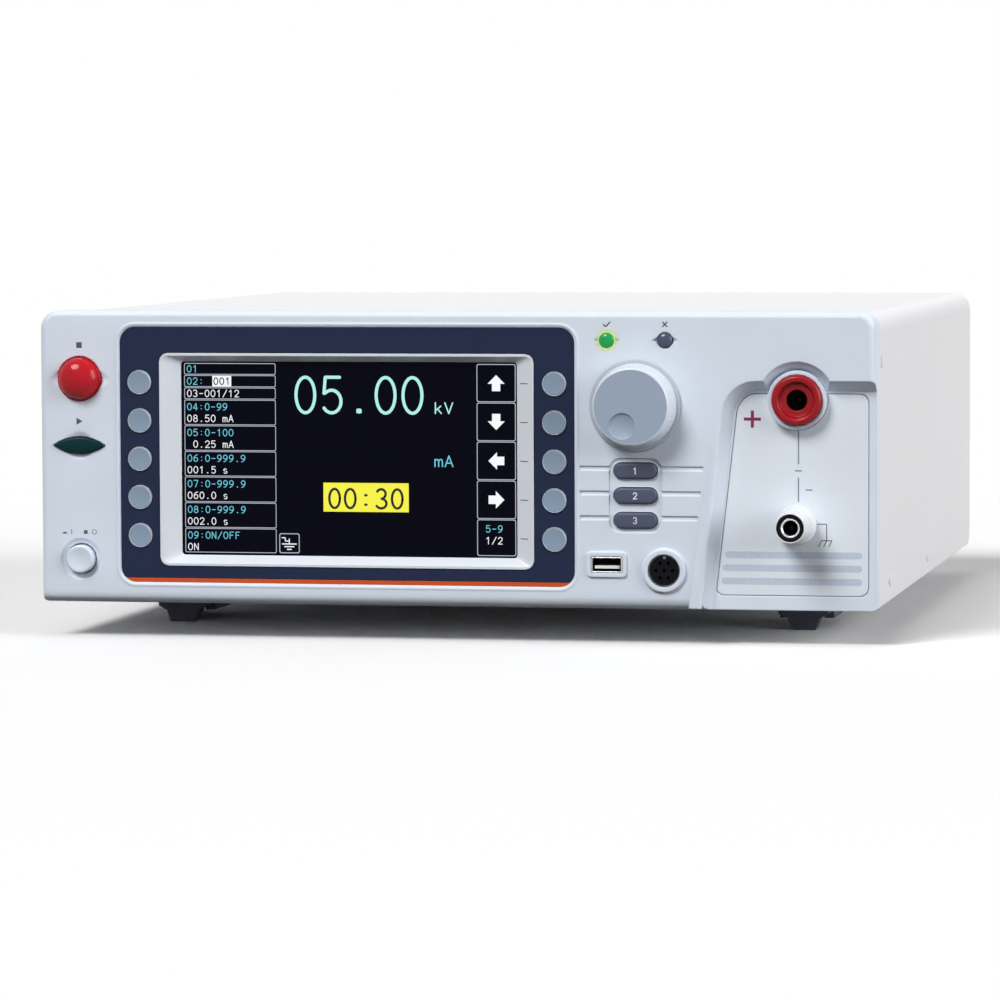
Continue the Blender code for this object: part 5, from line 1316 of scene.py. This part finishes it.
def makeScreen():
    window = Place("display_window")
    margin = screen["margin"]
    left = window.low.x + margin
    high = window.high.z - margin
    wide = window.high.x - margin - left
    tall = high - window.low.z - margin
    y = window.front - screen["rise"]
    lines, cyan, white, pale, yellow = (Ink(y) for _ in range(5))
    dark = Ink(y - screen["darkRise"])

    def across(share):
        return left + wide * share

    def up(share):
        return high - tall * share

    def boxes(sides, edges, pen):
        for top, bottom in zip(edges, edges[1:]):
            levels = (up(bottom) + screen["gap"], up(top) - screen["gap"])
            lines.border(across(sides[0]), across(sides[1]), *levels, *pen)

    small = screen["small"]
    pitch = small[1]
    start = across(screen["list"][0]) + 1.0
    boxes(screen["list"], screen["rows"], screen["listPen"])
    cyan.figures("01", start, up(0.0565), *small)
    cyan.figures("02:", start, up(0.1195), *small)
    first, last, low, top = screen["field"]
    white.box(start + first * pitch, start + last * pitch, up(low), up(top))
    dark.figures("001", start + (first + 0.1) * pitch, up(0.1195), *small, stroke=0.24)
    white.figures("03-001/12", start, up(0.183), *small)
    nameDrop, valueDrop = screen["drops"]
    for top, name, value in zip(screen["rows"][3:], screen["names"], screen["values"]):
        cyan.figures(name, start, up(top + nameDrop), *small)
        white.figures(value, start, up(top + valueDrop), *small)

    # the reading, and a count in the notice below it
    pale.figures("05.00", across(0.332), up(0.263), *screen["reading"])
    pale.figures("kV", across(0.752), up(0.263), *screen["unit"])
    cyan.figures("mA", across(0.752), up(0.535), *screen["unit"], stroke=0.17)
    yellow.box(across(0.424), across(0.678), up(0.771), up(0.622))
    dark.figures("00:30", across(0.434), up(0.752), *screen["count"])

    # a ground sign in a box of its own
    lines.border(across(0.291), across(0.352), up(0.988), up(0.885), 0.4, 0.9)
    centre = across(0.321)
    lead = ((0.298, 0.908), (0.309, 0.908), (0.309, 0.925), (0.321, 0.925))
    white.path([(across(px), up(pz)) for px, pz in lead], 0.45)
    white.line((centre, up(0.912)), (centre, up(0.938)), 0.45)
    for index, half in enumerate((3.4, 2.3, 1.1)):
        z = up(0.940 + 0.014 * index)
        white.line((centre - half, z), (centre + half, z), 0.5)

    # the arrows beside the right keys
    cells = screen["cells"]
    boxes(screen["keys"], cells, screen["cellPen"])
    middle = across(sum(screen["keys"]) / 2)
    for top, bottom, angle in zip(cells, cells[1:], screen["arrowAngles"]):
        z = up((top + bottom) / 2)
        turn = Matrix.Rotation(math.radians(angle), 2)
        white.polygon([tuple(Vector((middle, z)) + turn @ Vector(point)) for point in screen["arrow"]])
    cyan.figures("5-9", middle - 1.9 * pitch, up(0.869), *small)
    white.figures("1/2", middle - 1.9 * pitch, up(0.929), *small)

    lines.finish("screen_lines", "glowLine")
    cyan.finish("screen_names", "glowCyan")
    white.finish("screen_values", "glowWhite")
    pale.finish("screen_reading", "glowPale")
    yellow.finish("screen_notice", "glowYellow")
    dark.finish("screen_dark_figures", "glowBlack")


makeScreen()
print("screen")


# printed marks

marks = {
    "stop": (1.3, 131.2, 133.8),
    "start": ((-1.2, 96.4), (1.7, 98.0), (-1.2, 99.6)),
    "powerLevel": 47.6,
    # the two states of the power button: how far to the right, half the cap's width, its height
    "power": ((-7.5, 0.75, 0.15), (2.3, 0.85, 1.0)),
    # their foot and the bar between them, then the ring: its place, outside and inside
    "powerFoot": (1.15, -0.6, -0.3),
    "powerBar": (-4.45, -4.15, -0.8, 1.4),
    "powerRing": (6.3, 0.3, 1.15, 0.89),
    "lampLevel": 142.2,
    "check": ((-1.5, 0.1), (-0.4, -1.0), (1.6, 1.2)),
    "cross": (((-1.1, -1.0), (1.1, 1.2)), ((-1.1, 1.2), (1.1, -1.0))),
    "pen": 0.62,
    "leader": 155.3,
    "leaderHalf": 0.3,
    "leaderEnds": (80.6, 74.7),
    "leaderGaps": (2.4, 1.2),
    "dashes": ((-1.5, 1.5, 77.45, 77.9), (3.2, 6.2, 69.0, 69.45)),
    "ground": (167.8, 46.9, 54.2),
    "groundHalf": 2.5,
    "groundTeeth": (-2.3, 0, 2.3),
    "groundTooth": (-1.3, -2.7),
    "plus": ((131.0, 138.6, 99.7, 101.1), (134.1, 135.5, 96.6, 104.2)),
    # left end and top of each grey bar
    "bars": ((122.6, 41.8), (121.6, 36.0), (121.0, 30.1)),
    "barRight": 183.6,
    "barTall": 3.0,
    "barRadius": 1.49,
    # x and depth behind the frame's front at both ends of a tick
    "tick": ((31.1, 2.58), (34.9, 0.71)),
    "tickHalf": 0.2,
}


def markFront():
    # square to stop, triangle to start, the power button's states, check and cross over the lamps
    ink = Ink(Place("front_bezel").front + bezelRise - inkRise)
    x = Place("stop_button").x
    half, low, high = marks["stop"]
    ink.box(x - half, x + half, low, high)
    x = Place("start_button").x
    ink.polygon([(x + px, z) for px, z in marks["start"]])
    power = Place("power_button").x
    level = marks["powerLevel"]
    foot, low, step = marks["powerFoot"]
    for right, half, high in marks["power"]:
        x = power + right
        ink.box(x - foot, x + foot, level + low, level + step)
        ink.box(x - half, x + half, level + step, level + high)
    left, right, low, high = marks["powerBar"]
    ink.box(power + left, power + right, level + low, level + high)
    right, up, outer, inner = marks["powerRing"]
    ink.band(*(circle(power + right, level + up, radius, 40) for radius in (outer, inner)))
    ink.path(marks["check"], marks["pen"], Place("pass_lamp").x, marks["lampLevel"])
    for stroke in marks["cross"]:
        ink.path(stroke, marks["pen"], Place("fail_lamp").x, marks["lampLevel"])
    ink.finish("front_signs", "inkDark")


def markPlate():
    # between the terminals
    plane = Place("terminal_plate").front - inkRise
    lower = Place("return_terminal")
    leader = marks["leader"]
    sides = (leader - marks["leaderHalf"], leader + marks["leaderHalf"])
    upperEnd, lowerEnd = marks["leaderEnds"]
    upperGap, lowerGap = marks["leaderGaps"]
    leaders = Ink(plane)
    leaders.box(*sides, upperEnd, Place("hv_socket").low.z - upperGap)
    leaders.box(*sides, lower.high.z + lowerGap, lowerEnd)
    leaders.finish("plate_leaders", "inkGrey")
    lines = Ink(plane)
    for left, right, low, high in marks["dashes"]:
        lines.box(leader + left, leader + right, low, high)
    x, level, high = marks["ground"]
    lines.path(((lower.high.x + 0.2, high), (x, high), (x, level)), 0.4)
    lines.line((x - marks["groundHalf"], level), (x + marks["groundHalf"], level), 0.42)
    for right in marks["groundTeeth"]:
        lines.path(((0, 0), marks["groundTooth"]), 0.4, x + right, level)
    lines.finish("plate_lines", "inkDark")
    plus = Ink(plane)
    for sides in marks["plus"]:
        plus.box(*sides)
    plus.finish("plate_plus", "inkRed")
    bars = Ink(plane)
    for left, high in marks["bars"]:
        sides = (left, marks["barRight"], high - marks["barTall"], high)
        bars.polygon(roundedBox(*sides, marks["barRadius"], 10))
    bars.finish("plate_bars", "barGrey")


def markFrame():
    # a short tick on the slope of the frame beside each right key
    front = Place("screen_frame").front
    (nearX, nearY), (farX, farY) = marks["tick"]
    ticks = bmesh.new()
    for number in range(1, 6):
        z = Place(f"soft_key_right_{number}").z
        low, high = z - marks["tickHalf"], z + marks["tickHalf"]
        outline = [(nearX, nearY, low), (farX, farY, low), (farX, farY, high), (nearX, nearY, high)]
        ticks.faces.new([ticks.verts.new((px, front + py, pz)) for px, py, pz in outline])
    addPiece("frame_ticks", ticks, "inkDark")


markFront()
markPlate()
markFrame()
print("marks")


# stage: places and the floor's fade in metres

camera = {
    "place": (0.43974, -2.31386, 0.20204),
    "yaw": 11.223,
    "down": 3.682,
    "roll": -0.214,
    "lens": 173.8,
    "sensor": 36,
}
# strength, angle in degrees, and the direction that the light comes from
lamps = {
    "key": (2.52, 26, (-0.42, -0.8, 0.86)),
    "fill": (2.55, 45, (1.0, -0.24, 0.28)),
    "back": (0.2, 50, (-0.1, 0.7, 1.0)),
}
skyLevel = 0.2
# the floor's reach and depth are in millimetres
ground = {
    "tone": 0.96,
    "bounce": 0.06,
    "fadeStart": 0.36,
    "fadeEnd": 0.9,
    "reach": 30000,
    "depth": 0.05,
}


def makeCamera():
    data = bpy.data.cameras.new("camera")
    data.lens = camera["lens"]
    data.sensor_width = camera["sensor"]
    obj = bpy.data.objects.new("camera", data)
    obj.matrix_world = Matrix.Translation(camera["place"])
    for axis, angle in (("Z", camera["yaw"]), ("X", 90 - camera["down"]), ("Z", camera["roll"])):
        obj.matrix_world @= Matrix.Rotation(math.radians(angle), 4, axis)
    bpy.context.scene.collection.objects.link(obj)
    bpy.context.scene.camera = obj


def makeWorld():
    world = bpy.data.worlds.new("studio")
    bpy.context.scene.world = world
    sky = Shading(world)
    dim = (skyLevel, skyLevel, skyLevel * 1.02, 1)
    sky.feed(sky.nodes["Background"].inputs["Color"], sky.blend(sky.seenRays(), dim, grey(1)))


def makeSun(name):
    level, angle, source = lamps[name]
    data = bpy.data.lights.new(name, "SUN")
    data.energy = level
    data.angle = math.radians(angle)
    obj = bpy.data.objects.new(name, data)
    obj.rotation_mode = "QUATERNION"
    obj.rotation_quaternion = Vector(source).to_track_quat("Z", "Y")
    bpy.context.scene.collection.objects.link(obj)


def makeFloor():
    finish = newFinish("floor")
    rays = finish.seenRays()
    unseen, seen = (
        finish.add("ShaderNodeBsdfDiffuse", {}, {"Color": grey(ground[key])}) for key in ("bounce", "tone")
    )
    both = finish.add("ShaderNodeMixShader", {}, {0: rays, 1: unseen, 2: seen})
    # far from the case the floor runs into the white behind it
    away = finish.vector("LENGTH", finish.place(), (0, 0, 0), "Value")
    fade = finish.ramp(away, ground["fadeStart"], ground["fadeEnd"]) * rays
    white = finish.add("ShaderNodeEmission", {}, {"Color": grey(1), "Strength": 1})
    whole = finish.add("ShaderNodeMixShader", {}, {0: fade, 1: both, 2: white})
    finish.feed(finish.nodes["Material Output"].inputs["Surface"], whole)
    finish.nodes.remove(finish.nodes["Principled BSDF"])
    reach = ground["reach"]
    bm = bmesh.new()
    outline = [(-reach, -reach), (reach, -reach), (reach, reach), (-reach, reach)]
    bm.faces.new([bm.verts.new((x, y, -ground["depth"])) for x, y in outline])
    floor = newObject("floor", bm, finishes["floor"])


makeCamera()
makeWorld()
for name in lamps:
    makeSun(name)
makeFloor()
bpy.context.scene.view_settings.view_transform = "Standard"
print("stage ready")
